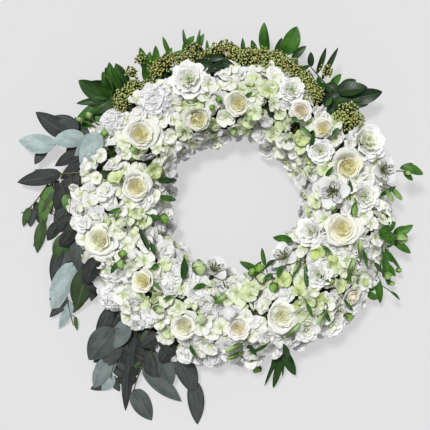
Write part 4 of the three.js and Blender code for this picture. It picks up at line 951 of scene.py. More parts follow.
# ------------------------------------------------------------------ hydrangea
GREEN_SPOTS = [(-69, 164, 16), (-30, 141, 15), (25, 188, 15), (33, 133, 16), (64, 125, 15), (103, 102, 14), (119, 63, 15), (142, 8, 14), (-53, -133, 17), (33, -133, 16),
               (-131, -149, 15), (-85, -149, 15), (72, -117, 16), (-158, 92, 12), (-128, 55, 13), (-72, 104, 13), (-38, 112, 12), (20, 116, 12), (160, -90, 12), (-205, -30, 12),
               (-95, -64, 12), (-180, 36, 12), (-150, -20, 14), (172, -120, 12), (112, -160, 12), (0, 150, 12), (-118, -92, 12), (10, -150, 12), (52, 172, 12), (110, 20, 12),
               (118, -96, 14), (134, -72, 12), (152, -40, 13), (96, -142, 13), (58, -152, 12), (172, -62, 12), (140, -132, 12), (-20, -150, 12), (-100, -200, 12), (-140, 110, 12), (152, 56, 13), (120, -166, 13)]
RUFFLE_SPOTS = [(-212, 6, 34), (-232, -20, 22), (-110, -120, 28), (-40, -128, 26), (-12, -112, 18), (110, -222, 30), (150, -205, 20), (-118, -70, 22), (-150, -200, 28), (-66, -232, 24),
                (-20, -236, 22), (60, -228, 24), (150, -60, 20), (128, -80, 18), (196, -90, 22), (-196, 52, 18), (176, -8, 14), (-106, -26, 18), (-186, -110, 22)]
# where the flower surface lay in shade, more florets take the greyer petals: painted shade; x, y, radius in mm
PAINTED_SHADE_SPOTS = [(-45, 108, 30), (-115, 85, 26), (-18, 98, 22), (88, 16, 26), (96, 2, 20), (-108, -62, 24), (45, 98, 22), (-84, 88, 22), (121, 24, 20), (121, -8, 18), (-196, 88, 22), (-214, 56, 18), (-30, -110, 14), (70, -84, 18), (-100, 30, 16)]


# dark gaps between the flowers, where leaves and shade show: x, y, radius in mm
DARK_SPOTS = [(a * 1.58, b * 1.58, r) for a, b, r in (
    (68, -2, 9), (49, -21, 8), (-37, -71, 8), (-40, -50, 7), (-89, -33, 8), (-82, -36, 7), (-66, 15, 7), (-71, 0, 8), (-79, -57, 8), (76, 20, 7),
    (118, 22, 7), (136, 40, 8), (143, -17, 8), (140, -57, 7), (123, -70, 7), (30, -63, 8), (13, -57, 7), (-29, 143, 10), (-114, -107, 8), (-52, -113, 7),
    (-19, -125, 7), (6, -147, 6), (54, -95, 7), (94, -86, 7), (106, 60, 7), (84, 72, 7), (20, 88, 6), (-58, 70, 7), (-104, 30, 7), (-126, -10, 7), (100, -118, 7), (150, -75, 8),
    (-22, 139, 17), (-12, 141, 13), (-88, -131, 20), (-66, -145, 17), (-144, -67, 19), (-164, -27, 15), (36, -57, 10), (54, -147, 17), (154, -27, 14), (96, 34, 10), (77, -104, 9), (16, -146, 12), (-124, 55, 12), (-104, 96, 14), (36, -64, 12), (-143, 36, 11), (-124, -66, 9), (-144, -44, 9), (-82, 15, 7), (76, 5, 8))]


def spots(table, x, y):
    return max(math.exp(-((x - a) ** 2 + (y - b) ** 2) / (r * r)) for a, b, r in table)


def lump(theta, phi):
    """Slow unevenness of the flower surface, in mm."""
    return 3.2 * math.sin(5 * theta + 1.1) * math.cos(2.2 * phi + 0.4) + 2.6 * math.sin(11 * theta + 3.0 * phi) + 1.6 * math.sin(17 * theta - 5 * phi + 2.0)


def outer_limit(theta):
    """Where the florets stop on the outer side (radians from the crest): less far at the beads."""
    d = abs((theta - math.radians(80) + math.pi) % (2 * math.pi) - math.pi)
    w = 1 - float(smooth(math.radians(46), math.radians(64), d))
    limit = 86 * (1 - w) + 38 * w
    v = float(smooth(math.radians(25), math.radians(32), theta) * smooth(math.radians(66), math.radians(58), theta))
    return math.radians(limit * (1 - v) + 20 * v)


def surface(theta, phi):
    h = lump(theta, phi)
    a, b = 84 - 9.0 + h, 88 - 6.0 + h
    rho = RING + a * math.sin(phi)
    z = 30 + b * math.cos(phi)
    er = np.array([math.cos(theta), math.sin(theta), 0])
    p = er * rho + np.array([0, 0, z])
    n = unit(er * math.sin(phi) / a + np.array([0, 0, 1.0]) * math.cos(phi) / b)
    return p, n


def clear_of_heads(p, share=0.93):
    near = 9.0
    for c, n, R in HEADS:
        d = p - c
        ax = d.dot(n)
        rad = math.sqrt(max(d.dot(d) - ax * ax, 0))
        if -1.6 * R < ax < 0.9 * R:
            if rad < share * R:
                return False, 0.0
            near = min(near, (rad - share * R))
    return True, near


q = np.random.default_rng(9)
hyd_geo = [Geo() for _ in HYDRANGEAS]
seeds = np.array([(a, b) for a, b, *_ in HYDRANGEAS])


def owner(p):
    return int(np.argmin(((seeds - p[:2]) ** 2).sum(1) - np.array([h[3] for h in HYDRANGEAS]) ** 2))


placed = np.zeros((0, 3))
tries = 0
count = 0
for _ in range(26000):
    theta = q.uniform(-math.pi, math.pi)
    phi = math.radians(q.uniform(-90, 92))
    if q.uniform() > (RING + 84 * math.sin(phi)) / 264:
        continue
    if phi > outer_limit(theta):
        continue
    p, n = surface(theta, phi)
    if any((p[0] - a) ** 2 + (p[1] - b) ** 2 < r * r for a, b, r in DARK_SPOTS):
        continue
    ruf = spots(RUFFLE_SPOTS, p[0], p[1])
    gap = 18.5 if ruf < 0.5 else 20.0
    if len(placed) and ((placed - p) ** 2).sum(1).min() < gap * gap:
        continue
    ok, near = clear_of_heads(p)
    if not ok:
        continue
    placed = np.vstack([placed, p])
    grn = spots(GREEN_SPOTS, p[0], p[1])
    shade_weight = spots(PAINTED_SHADE_SPOTS, p[0], p[1])
    wall = float(smooth(math.radians(35), math.radians(70), abs(phi)))
    tilt = unit(n * (1 - 0.5 * wall) + np.array([0, 0, 0.6 * wall]) + q.normal(0, 0.28, 3))
    p = p - n * (q.uniform(-1.0, 9.0) + (4.0 if near < 6 else 0) + 5.0 * float(smooth(math.radians(-35), math.radians(-65), phi)))
    g = hyd_geo[owner(p)]
    # florets on the inner wall, on the low outer wall and in the shade spots take the greyer petals: painted shade
    inner_wall = phi < math.radians(-50)
    low_wall = phi > math.radians(62)
    painted_shade_one = q.uniform() < (0.6 * shade_weight + (0.2 if inner_wall else 0.0) + (0.2 if low_wall else 0.0))
    if (ruf > 0.45 and q.uniform() < 0.85) or (grn < 0.35 and q.uniform() < 0.22):
        if painted_shade_one:
            ruffle(g, p + n * 3, tilt, q.uniform(14, 17.5), q, 6, 15, 1, 12, 6)
        else:
            ruffle(g, p + n * 3, tilt, q.uniform(14, 17.5), q, 10, 15, 6, 12, 6)
    else:
        D = q.uniform(23, 35)
        if painted_shade_one:
            floret(g, p, tilt, D, q, 2, 15, 1, 6)
        else:
            k = 15.5 * (1 - 0.88 * grn) * q.uniform(0.76, 1.0) + 1
            floret(g, p, tilt, D, q, int(np.clip(k - 2, 0, 15)), int(np.clip(k + 1, 1, 15)), 0, 7)
    count += 1

# a deeper, greener and darker layer that shows between the florets: the darkness is painted shade in the gaps, the
# green partly the inner florets' own colour; some take the greyer painted-shade petals
placed2 = np.zeros((0, 3))
for _ in range(9000):
    theta = q.uniform(-math.pi, math.pi)
    phi = math.radians(q.uniform(-84, 88))
    if phi > outer_limit(theta):
        continue
    p, n = surface(theta, phi)
    if len(placed2) and ((placed2 - p) ** 2).sum(1).min() < 21.0 ** 2:
        continue
    ok, near = clear_of_heads(p, 0.75)
    if not ok:
        continue
    if any((p[0] - a) ** 2 + (p[1] - b) ** 2 < (r + 2) ** 2 for a, b, r in DARK_SPOTS):
        continue
    placed2 = np.vstack([placed2, p])
    g = hyd_geo[owner(p)]
    floret(g, p - n * q.uniform(11, 16), unit(n + q.normal(0, 0.35, 3)), q.uniform(18, 23), q, 0, 7, 0 if q.uniform() < 0.7 else 1, 3)

# loose petals that break the surface up
for _ in range(620):
    theta = q.uniform(-math.pi, math.pi)
    phi = math.radians(q.uniform(-80, 84))
    if phi > outer_limit(theta):
        continue
    p, n = surface(theta, phi)
    ok, near = clear_of_heads(p, 0.98)
    if not ok or any((p[0] - a) ** 2 + (p[1] - b) ** 2 < (r + 3) ** 2 for a, b, r in DARK_SPOTS):
        continue
    side = unit(np.cross(n, q.normal(0, 1, 3)))
    d = unit(side + n * q.uniform(0.05, 0.6))
    L = q.uniform(14, 22)
    grn = spots(GREEN_SPOTS, p[0], p[1])
    lime = q.uniform() < (0.34 if p[0] > 60 and p[1] < 40 else 0.2)
    k = int(q.integers(0, 5)) if lime else int(np.clip(15 * (1 - 0.7 * grn) - q.uniform(0, 3), 4, 15))
    slim = q.uniform() < 0.3
    blade(hyd_geo[owner(p)], p - n * q.uniform(2, 7) - d * L * 0.3, d, n, L, L * (q.uniform(0.26, 0.36) if slim else q.uniform(0.6, 0.85)), k, 0 if q.uniform() < 0.7 else 6, 5, 6,
          cup=L * q.uniform(0.0, 0.12), droop=L * q.uniform(0.0, 0.2), wave=L * 0.05, phase=q.uniform(0, 6), peak=0.6, power=0.6, tip_power=0.85 if slim else 0.5, claw=0.2, twist=q.uniform(-0.5, 0.5), frill=L * 0.03)

# leaves and branching stalks under the florets; the leaves' near-black colour is painted shade in the gaps
for i in range(900):
    theta = q.uniform(-math.pi, math.pi)
    phi = math.radians(q.uniform(-92, 94))
    p, n = surface(theta, phi)
    ok, near = clear_of_heads(p - n * 20, 0.6)
    if not ok:
        continue
    g = hyd_geo[owner(p)]
    t = np.cross(n, q.normal(0, 1, 3))
    deep = q.uniform(19, 27)
    b = p - n * deep - unit(t) * 18
    if b[2] < 22 or not clear_of_heads(p - n * deep + unit(t) * 20, 0.85)[0] or not clear_of_heads(b, 0.85)[0]:
        continue
    blade(g, b, unit(unit(t) + n * q.uniform(-0.10, 0.08)), n, q.uniform(32, 44), q.uniform(17, 26), int(q.integers(0, 12)), 3, 4, 5, cup=2.0, tip_power=0.8, peak=0.45, droop=3.0, wave=1.0, phase=q.uniform(0, 6))
for i, (hx, hy, hz, hr) in enumerate(HYDRANGEAS):
    ang = math.atan2(hy, hx)
    foot = np.array([RING * math.cos(ang), RING * math.sin(ang), FOAM_TOP - 12])
    top = np.array([hx, hy, 78.0])
    tube(hyd_geo[i], [foot, (foot + top) / 2, top], 3.0, 2.6, 4, 6, 2)
    for j in range(14):
        th, ph = q.uniform(0, 6.28), q.uniform(0.2, 1.3)
        d = np.array([math.cos(th) * math.sin(ph), math.sin(th) * math.sin(ph), math.cos(ph)])
        tube(hyd_geo[i], [top, top + d * 14, top + d * q.uniform(22, 30)], 1.3, 0.7, 4, 4, 3, sub=2)

# leaves on the outer wall under the beads
for i in range(120):
    theta = math.radians(q.uniform(22, 140))
    er = np.array([math.cos(theta), math.sin(theta), 0])
    et = np.array([-math.sin(theta), math.cos(theta), 0])
    z = q.uniform(30, 82)
    b = er * q.uniform(208, 222) + np.array([0, 0, z])
    d = unit(er * q.uniform(0.35, 0.8) + et * q.uniform(-0.9, 0.9) + np.array([0, 0, q.uniform(-0.7, 0.35)]))
    L = q.uniform(26, 38)
    if (b + d * L)[2] < 4 or np.linalg.norm((b + d * L)[:2]) > 252:
        continue
    j = owner(b)
    blade(hyd_geo[j], b, d, unit(er * 0.7 + np.array([0, 0, 1.0])), L, L * q.uniform(0.36, 0.5), int(q.integers(1, 10)), 5, 6, 8, cup=1.0, fold=1.2, tip_power=0.85, peak=0.42, power=0.6, droop=L * 0.12, wave=0.8, phase=q.uniform(0, 6))

# ------------------------------------------------------------------ single buds and small leaves
# buds: x, y, radius, length, direction, upwardness, shade, lift above the flowers, calyx
BUDS = [
    (-230.8, 142, 4.8, 14.5, -0.5, 0.8, 0.5, 6, 3, 1),
    (-247.3, 137.4, 4.2, 16.2, -1, 0.3, 0.2, 5, 0, 1),
    (-203.1, 111.6, 5.7, 12.6, 0, 0, 1, 2, 3, 1),
    (-157.1, 86.2, 5.3, 9.3, 0.3, -0.5, 0.8, 4, 3, 0),
    (-24.9, 165, 4.7, 10.9, 0, 0.5, 0.8, 2, 3, 1),
    (-35.8, 152.7, 4.1, 9.4, -0.5, 0, 0.8, 2, 3, 1),
    (-176.5, -29.1, 7.8, 13.2, 0, 0, 1, 13, 5, 0),
    (-112.5, -22.2, 7.9, 14.3, 0.3, 0, 0.8, 0, 3, 1),
    (-174.3, -76.2, 6.2, 14, 0.3, 0.8, 0.4, 2, 3, 1),
    (-174.4, -93.4, 7.2, 15.6, -1, -0.1, 0.3, 5, 3, 1),
    (-56.8, -102.6, 12, 20.5, 0.2, -0.3, 0.9, 8, 6, 1),
    (-118.2, -161.2, 5.9, 18.7, 1, -0.1, 0.2, 8, 5, 1),
    (-52.1, -177.2, 8.1, 14, 0, 0, 1, 10, 4, 0),
    (41.2, -104.6, 7.9, 14.3, 0, 0.2, 0.9, 1, 5, 1),
    (28.6, -108.7, 6.3, 11.1, -0.5, 0, 0.8, 1, 3, 1),
    (44, -118.6, 7.9, 14.1, 0.1, -0.1, 0.9, 11, 6, 1),
    (62, -129.7, 6.9, 15.6, 0.2, -0.8, 0.5, 2, 4, 1),
    (25, 136.2, 5, 9.4, 0, -0.3, 0.9, 7, 3, 0),
    (0, 117.1, 5.1, 11.1, 0, -0.6, 0.7, 6, 2, 1),
    (-9.3, -169.3, 11.2, 18.6, -0.2, 0.2, 0.9, 15, 6, 0),
    (-22.6, -148.2, 5, 23.4, 0.7, 0.6, 0.1, 6, 4, 0),
    (0, -222.4, 5.3, 31.3, -1, -0.45, 0.1, 6, 3, 1),
    (-1.6, -240.4, 4.4, 22.1, -1, -0.2, 0.1, 5, 0, 1),
    (90.6, -195.2, 5.3, 31.2, 0.7, 0.8, 0.1, 6, 4, 1),
    (136.1, -173.6, 5.3, 26.6, -0.6, -0.8, 0.1, 8, 4, 1),
    (194.7, -68.5, 5.3, 31.2, -0.1, 1, 0.1, 7, 5, 1),
    (180.7, -96.6, 5, 31.2, 0.3, 1, 0.1, 6, 4, 1),
    (100.1, -97, 4.7, 25, -0.5, -1, 0.1, 6, 4, 1),
    (186.5, -6.2, 4.7, 23.3, -0.1, -1, 0.1, 3, 5, 0),
    (259.1, 19.3, 5.1, 29, 0.6, -0.8, 0.1, 4, 2, 0),
    (243.9, 15.8, 4.8, 25.3, 0.5, -0.9, 0.1, 6, 2, 0),
    (182.1, -177.3, 5.7, 14.4, 1, -0.4, 0.3, 3, 2, 1),
    (119.3, 54.9, 4.1, 7.8, 0, 0, 1, 8, 3, 0),
    (154.3, -4.7, 4.4, 9.4, 0, 0, 1, 7, 3, 0),
    (-183.6, -17.1, 3.7, 9.3, 0.4, 1, 0.4, 2, 3, 1),
    (87.6, 108, 3.8, 7.8, 0, 0, 1, 8, 3, 0),
    (87.2, 132.4, 3.4, 7.8, 0, 0, 1, 8, 3, 0),
]
# small leaves: from x, y to x, y, width, shade, lift
SMALL_LEAVES = [
    (68, -90.2, 50.3, -108.5, 9.4, 3, 11),
    (76.9, -98.9, 70.2, -118.5, 9.4, 8, 11),
    (62.7, -111.3, 46.9, -123.4, 7.9, 10, 11),
    (143.3, 43.6, 155.1, 60.5, 6.3, 6, 9),
    (-132.6, -59.3, -126, -80.9, 9.4, 4, 9),
    (111.8, -152.2, 119.8, -172.6, 6.3, 9, 9),
    (-68.9, -217.8, -58.3, -234.7, 7.9, 6, 9),
    (21.8, -215.3, 34.5, -232.2, 7.9, 3, 9),
    (216.8, -89.6, 232.8, -106.8, 7.9, 5, 9),
    (-180.4, -88.6, -190.1, -106, 7.9, 4, 9),
    (184, -88.9, 174.7, -123.3, 6.3, 9, 5),
    (199.9, -67.2, 207, -98.8, 6.3, 10, 5),
    (103.4, -89.3, 90.5, -117, 6.3, 10, 5),
    (84.7, -208.7, 103, -185.7, 6.3, 11, 4),
    (151.5, -184.7, 137.2, -160.6, 6.3, 10, 5),
    (9.4, -231.4, -12.6, -241.8, 6.3, 9, 3),
    (-34.4, -142.2, -18.7, -157.2, 6.3, 10, 5),
    (229.8, 14.2, 261.6, 30.7, 7.9, 5, 2),
    (240.6, -14.2, 252.3, -30.3, 6.3, 6, 2),
    (15.6, 166.7, 28, 175.7, 6.3, 10, 4),
    (-28, 169.8, -18.7, 157.3, 7.9, 9, 4),
    (102.9, 123.2, 121.4, 107.4, 6.3, 11, 4),
    (-127.6, -119.8, -115, -132.1, 6.3, 11, 5),
    (-96.5, -141.7, -111.9, -147.6, 6.3, 10, 5),
    (-196.4, -14, -177.2, -4.7, 6.3, 9, 4),
    (137.4, -64, 152.3, -76.2, 6.3, 10, 5),
    (172.8, -149.3, 187.7, -167, 6.3, 9, 4),
    (255.5, -140.7, 268, -153.4, 7.9, 10, 2),
    (152.6, 107.5, 161.9, 119.9, 7.9, 7, 4),
    (180.5, 12.5, 178.7, 38.8, 7.9, 4, 5),
    (183.7, -17.1, 186.5, 4.7, 7.9, 6, 5),
    (113, -129.2, 112.4, -92.1, 7.9, 5, 5),
    (-148.3, -35.9, -134, -73.3, 9.4, 2, 4),
    (118.9, 82.9, 124.4, 116.6, 7.1, 3, 4),
    (92.5, -57.4, 64.5, -53.3, 14.1, 9, 3),
    (49.4, -97.2, 46.8, -71, 7.9, 9, 4),
    (41.1, -110.7, 9.7, -93.5, 15.7, 8, 4),
    (28.6, -111.1, 44.9, -91.4, 12.6, 11, 3),
    (-121.3, 39.4, -93.1, 40.2, 11, 4, 2),
    (-117.2, 12.7, -93.6, 8.1, 9.4, 12, 2),
    (-79.9, -117.5, -79.2, -84, 12.6, 3, 2),
    (87.3, 135.6, 110.4, 129.1, 7.9, 9, 4),
    (53.4, -219.9, 25.2, -231.1, 7.9, 4, 3),
    (143.9, 156.4, 152.1, 167.8, 7.9, 8, 3),
    (-118.8, -92.2, -130.8, -101.2, 7.9, 9, 3),
    (-132, -15.7, -116.8, -25.3, 7.9, 9, 3),
    (130.9, -109.1, 149.4, -121.4, 6.3, 8, 3),
    (-45.6, -124.2, -65.6, -132.7, 9.4, 8, 3),
]
for i, (x, y, r, length, dx, dy, dz, k, lift, calyx) in enumerate(BUDS):
    z, n = dome(x, y)
    c = np.array([x, y, z]) + n * lift
    ax = unit(np.array([dx, dy, 0.0]) + n * dz)
    g = hyd_geo[owner(c)]
    bud(g, c, ax, r * (0.86 if length > 3.2 * r else 1.0), length, k, 6 if k == 15 else 2, 4, calyx=bool(calyx), ck=6)
    tube(g, [c - ax * length * 0.45, c - ax * length * 0.7 - n * 6, c - ax * length * 0.6 - n * 20], 1.0, 1.1, 4, 5, 4, sub=3)
for i, (x0, y0, x1, y1, w, k, lift) in enumerate(SMALL_LEAVES):
    z0, n0 = dome(x0, y0)
    z1, n1 = dome(x1, y1)
    b = np.array([x0, y0, z0]) + n0 * (lift - 5)
    t = np.array([x1, y1, z1]) + n1 * (lift - 1)
    g = hyd_geo[owner(b)]
    dd = unit(t - b)
    tube(g, [b + dd * 2, b - dd * 4 - n0 * 5, b - dd * 5 - n0 * 22], 0.9, 1.1, 4, 5, 5, sub=3)
    blade(g, b, t - b, unit(n0 + n1), np.linalg.norm(t - b), w, k, 5, 4, 8, cup=w * 0.12, arch=w * 0.1, tip_power=0.85, peak=0.42)

for i in range(len(HYDRANGEAS)):
    emit(hyd_geo[i], "hydrangea_%02d_florets" % (i + 1), [HYD_M, SHADE_M, BUD_M, UNDER_M, STEM_M, GLOSSY_M, STOCK_M], "hydrangea_%02d" % (i + 1))

# ------------------------------------------------------------------ sprays of leaves
EUC_SPRAYS = ('eucalyptus_01', 'eucalyptus_02', 'eucalyptus_03', 'eucalyptus_04')
# leaf material and shade, leaf by leaf; for the eucalyptus the shade is pale where a leaf faced the light and near
# black where it lay in shade: painted light and shade, partly the leaves' own tones
LEAF_KIND = {
    'eucalyptus_01': [(0, 2), (0, 3), (0, 14), (0, 15), (0, 12), (0, 1), (0, 2), (1, 11), (0, 1), (1, 4), (1, 4)],
    'eucalyptus_02': [(1, 4), (0, 2), (0, 4), (0, 14), (1, 2), (0, 13), (0, 4)],
    'eucalyptus_03': [(0, 2), (0, 4), (0, 7), (0, 9), (0, 12), (1, 1)],
    'leaves_01': [(2, 4), (2, 7), (2, 6), (2, 2), (2, 8), (2, 9), (2, 11), (2, 10)],
    'leaves_02': [(2, 10), (2, 9), (2, 8), (2, 10), (2, 12), (2, 8), (2, 10), (2, 11)],
    'leaves_03': [(2, 1), (2, 1), (2, 0), (2, 11), (2, 1), (2, 0)],
    'leaves_04': [(2, 14), (2, 12), (2, 9), (2, 10), (2, 9)],
    'eucalyptus_04': [(0, 1), (0, 4), (0, 5), (0, 5), (0, 3), (0, 3), (0, 2)],
    'leaves_05': [(2, 3), (2, 2), (2, 5), (2, 3)],
}
# more leaves, behind those of the frame: as its rows, then material and shade; the eucalyptus shades are painted light
# and shade as above
EXTRA_LEAVES = {
    'eucalyptus_01': [
        (-212, 113.1, 104, -244, 68.1, 88, 28.8, 0, 4, 0, 14),
        (-251.2, -27.4, 58, -272.3, -56.7, 46, 19.2, 0, 3, 0, 1),
        (-258.5, -43.6, 52, -283.3, -66.7, 38, 19.2, 0, 3, 0, 0),
        (-264.7, -17.8, 54, -285.9, -43.9, 42, 19.2, 0, 3, 0, 1),
        (-283.6, -27.7, 36, -305.1, -57.4, 24, 17.6, 0, 3, 0, 1),
        (-237.7, 76.5, 38, -281.2, 44.1, 30, 24, 15, 4, 0, 1),
        (-244.5, 48.9, 36, -288.4, 24.6, 26, 24, -10, 4, 0, 1),
        (-264.6, 37.6, 32, -276.7, -28, 16, 24, 10, 4, 0, 2),
        (-291.3, 24.6, 28, -315.6, -11.5, 20, 9.6, 0, 2, 1, 3),
        (-254.5, 31, 34, -252.6, -14.8, 24, 24, 0, 3, 0, 1),
        (-268.4, 14.7, 28, -293.8, -41.3, 12, 20.8, 0, 3, 0, 3),
        (-306.7, -14.8, 14, -331.2, -67.9, 6, 8, 0, 2, 1, 3),
        (-244.7, 14.7, 34, -255.6, -34.4, 26, 24, 0, 4, 0, 2),
        (-274.1, 17.9, 34, -268.1, -11.4, 30, 14.4, 10, 2, 1, 12),
    ],
    'eucalyptus_02': [
        (-215.8, -83.5, 98, -238.1, -127.1, 60, 24, 0, 3, 0, 1),
        (-221.8, -91.6, 62, -242.6, -127.8, 50, 20.8, 0, 3, 0, 1),
        (-227.9, -81.9, 64, -219.3, -120.9, 56, 19.2, 0, 3, 0, 0),
        (-235.6, -114.6, 54, -223.7, -141, 46, 19.2, 0, 3, 0, 1),
        (-231.2, -63.5, 38, -249, -126.2, 26, 27.2, 5, 5, 0, 1),
        (-217.9, -82.9, 40, -232.9, -155.8, 24, 25.6, 10, 4, 0, 2),
        (-251.2, -93, 34, -279.7, -149.7, 18, 24, 0, 4, 0, 12),
        (-242.5, -126.2, 26, -264.1, -176.6, 12, 19.2, 0, 3, 1, 3),
        (-264.9, -73.6, 30, -289.3, -116.7, 20, 22.4, 0, 3, 0, 4),
        (-276.4, -139.9, 18, -291.4, -180.5, 6, 14.4, 0, 2, 0, 14),
        (-261.1, -183.4, 10, -258.5, -207.1, 5, 6.4, 0, 1, 1, 5),
    ],
    'eucalyptus_03': [
        (-122.3, -207.5, 60, -151.9, -227.8, 52, 20.8, 0, 3, 0, 1),
        (-141.9, -201.5, 56, -131, -234.5, 50, 19.2, 0, 3, 1, 1),
        (-100, -224.1, 56, -120, -254.5, 46, 20.8, 0, 3, 0, 1),
        (-118.9, -213.7, 62, -92.2, -244.2, 50, 19.2, 0, 3, 0, 1),
        (-176, -203.7, 36, -191.1, -275.1, 16, 24, 0, 4, 0, 0),
        (-159.7, -213.5, 36, -168.2, -285.3, 14, 20.8, 0, 3, 0, 1),
        (-146.7, -216.8, 36, -141.7, -278.4, 16, 22.4, 0, 3, 0, 1),
        (-186, -223.5, 34, -220, -264.4, 22, 25.6, 0, 4, 0, 3),
        (-188.8, -184, 38, -225.6, -227.3, 30, 24, 0, 3, 0, 2),
        (-167.1, -237.6, 26, -175.3, -309.3, 8, 19.2, 0, 3, 0, 1),
        (-203.2, -247.4, 26, -224.7, -295.8, 10, 19.2, 0, 3, 0, 9),
    ],
    'leaves_01': [
        (-160.7, 194.4, 62, -179.6, 174.8, 66, 17.6, 0, 3, 2, 0),
        (-170.3, 181.6, 62, -150.9, 197.4, 64, 17.6, 0, 3, 2, 1),
        (-157.1, 174.8, 66, -176.8, 188, 62, 16, 0, 3, 2, 0),
        (-188.6, 177.3, 40, -245.9, 192.5, 50, 30.4, 5, 5, 2, 2),
        (-182.1, 183.8, 40, -206.1, 220.6, 58, 27.2, -5, 4, 2, 1),
        (-172.4, 190.3, 40, -190, 227.1, 58, 20.8, 5, 4, 2, 5),
        (-191.5, 173.6, 44, -233.7, 150.9, 44, 25.6, 0, 4, 2, 3),
        (-185.2, 170.6, 42, -221.4, 141.6, 38, 24, 10, 4, 2, 6),
        (-197.9, 180, 45, -236.2, 186, 50, 22.4, 0, 4, 2, 5),
        (-175.3, 186.6, 44, -183.8, 224.1, 56, 19.2, 10, 3, 2, 3),
        (-143, 199.8, 42, -135.6, 246.9, 54, 16, 0, 3, 2, 8),
        (-120.2, 212.8, 42, -100.2, 253.7, 52, 14.4, 0, 2, 2, 10),
        (-204.9, 157.7, 40, -248, 125.6, 34, 20.8, 0, 3, 2, 9),
    ],
    'leaves_02': [
        # these first four near-black leaves sit in the gap between the beads and the flowers as painted shade
        (-63.5, 227, 84, -28.3, 215.4, 102, 19.2, 0, 3, 2, 0),
        (-31.8, 230.2, 84, 0, 218.8, 100, 16, 0, 3, 2, 0),
        (-6.3, 226.8, 86, -44, 208.8, 104, 16, 0, 3, 2, 0),
        (-47.6, 233.4, 84, -15.8, 231.9, 96, 14.4, 0, 3, 2, 1),
        (-77.2, 223.6, 60, -54.3, 234.9, 72, 17.6, 0, 3, 2, 2),
        (19.3, 249.1, 62, -6.4, 234.9, 72, 14.4, 0, 3, 2, 1),
        (-68.2, 238.8, 42, -48.5, 276.3, 52, 14.4, 0, 2, 2, 10),
        (-32.5, 232.6, 40, -19.4, 266.9, 50, 12.8, 0, 2, 2, 4),
        (3.3, 232.6, 40, -3.2, 263.7, 50, 12.8, 0, 2, 2, 3),
        (35.7, 238.8, 42, 29.1, 266.9, 50, 12.8, 0, 2, 2, 5),
        (68.2, 238.8, 42, 77.6, 270.1, 50, 16, 0, 2, 2, 3),
        (-45.5, 232.6, 40, -58.2, 260.4, 50, 11.2, 0, 2, 2, 9),
        (94.2, 235.5, 42, 116.6, 257.5, 48, 14.4, 0, 2, 2, 3),
    ],
    'leaves_03': [
        # these first four near-black leaves sit at the base of the beads beside the rose as painted shade
        (142.9, 160.4, 84, 161.2, 143.8, 92, 19.2, 0, 3, 2, 0),
        (159.1, 167.1, 80, 139.1, 147, 92, 17.6, 0, 3, 2, 0),
        (150.1, 180.4, 74, 168.7, 160.7, 80, 19.2, 0, 3, 2, 0),
        (147.2, 193.6, 70, 166, 177.2, 74, 17.6, 0, 3, 2, 1),
        (159.4, 183.8, 40, 229.7, 176.3, 50, 27.2, 0, 5, 2, 1),
        (162.6, 177.3, 40, 204, 160.3, 48, 24, 0, 4, 2, 0),
        (165.5, 183.4, 44, 207, 173.1, 50, 20.8, 0, 4, 2, 2),
        (156, 183.6, 42, 181.7, 150.9, 44, 22.4, 0, 4, 2, 1),
        (180.1, 176.9, 44, 217, 163.5, 48, 22.4, 0, 4, 2, 3),
        (172, 189.9, 44, 197.1, 202, 52, 16, 0, 3, 2, 4),
    ],
    'leaves_04': [
        (226.4, -44, 102, 257.8, -27.1, 80, 14.4, 0, 2, 2, 10),
        (226.4, -47.2, 102, 261.5, -52.6, 76, 14.4, 0, 2, 2, 11),
        (229.5, -39.3, 102, 254.6, -65.2, 80, 12.8, 0, 2, 2, 13),
        (233.9, -53.6, 42, 256.7, -66.6, 42, 14.4, 0, 3, 2, 8),
        (242, -92.6, 42, 264, -115.7, 36, 11.2, 0, 2, 2, 12),
        (243.7, -73.1, 42, 260.5, -92.8, 38, 11.2, 0, 2, 2, 11),
        (214.2, -141.2, 44, 234.4, -153, 38, 11.2, 0, 2, 2, 12),
        (214.2, -137.9, 44, 233.9, -131.6, 42, 9.6, 0, 2, 2, 12),
        (259.4, -50.3, 46, 275, -34, 50, 12.8, 0, 2, 2, 13),
    ],
    'eucalyptus_04': [
        (-137, -230, 34, -124.8, -290.6, 22, 24, 0, 4, 0, 2),
        (-107.4, -213.3, 38, -78.7, -267.4, 24, 22.4, 0, 4, 0, 4),
        (-133.9, -240.1, 32, -105.3, -294.5, 18, 22.4, 0, 4, 0, 5),
    ],
    'leaves_05': [
        (76.9, -218, 106, 85.7, -242.9, 84, 11.2, 0, 2, 2, 3),
        (75, -226.8, 34, 62.5, -274.8, 18, 12.8, 0, 2, 2, 8),
    ],
}
EXTRA_BUDS = {
    'leaves_05': [(39.4, -269.6, 20, 7.2, -1, -0.3)],
    'leaves_04': [(269.2, -106, 34, 4.8, 1, 0), (258.3, -127.5, 30, 4.8, 1, -0.3)],
}


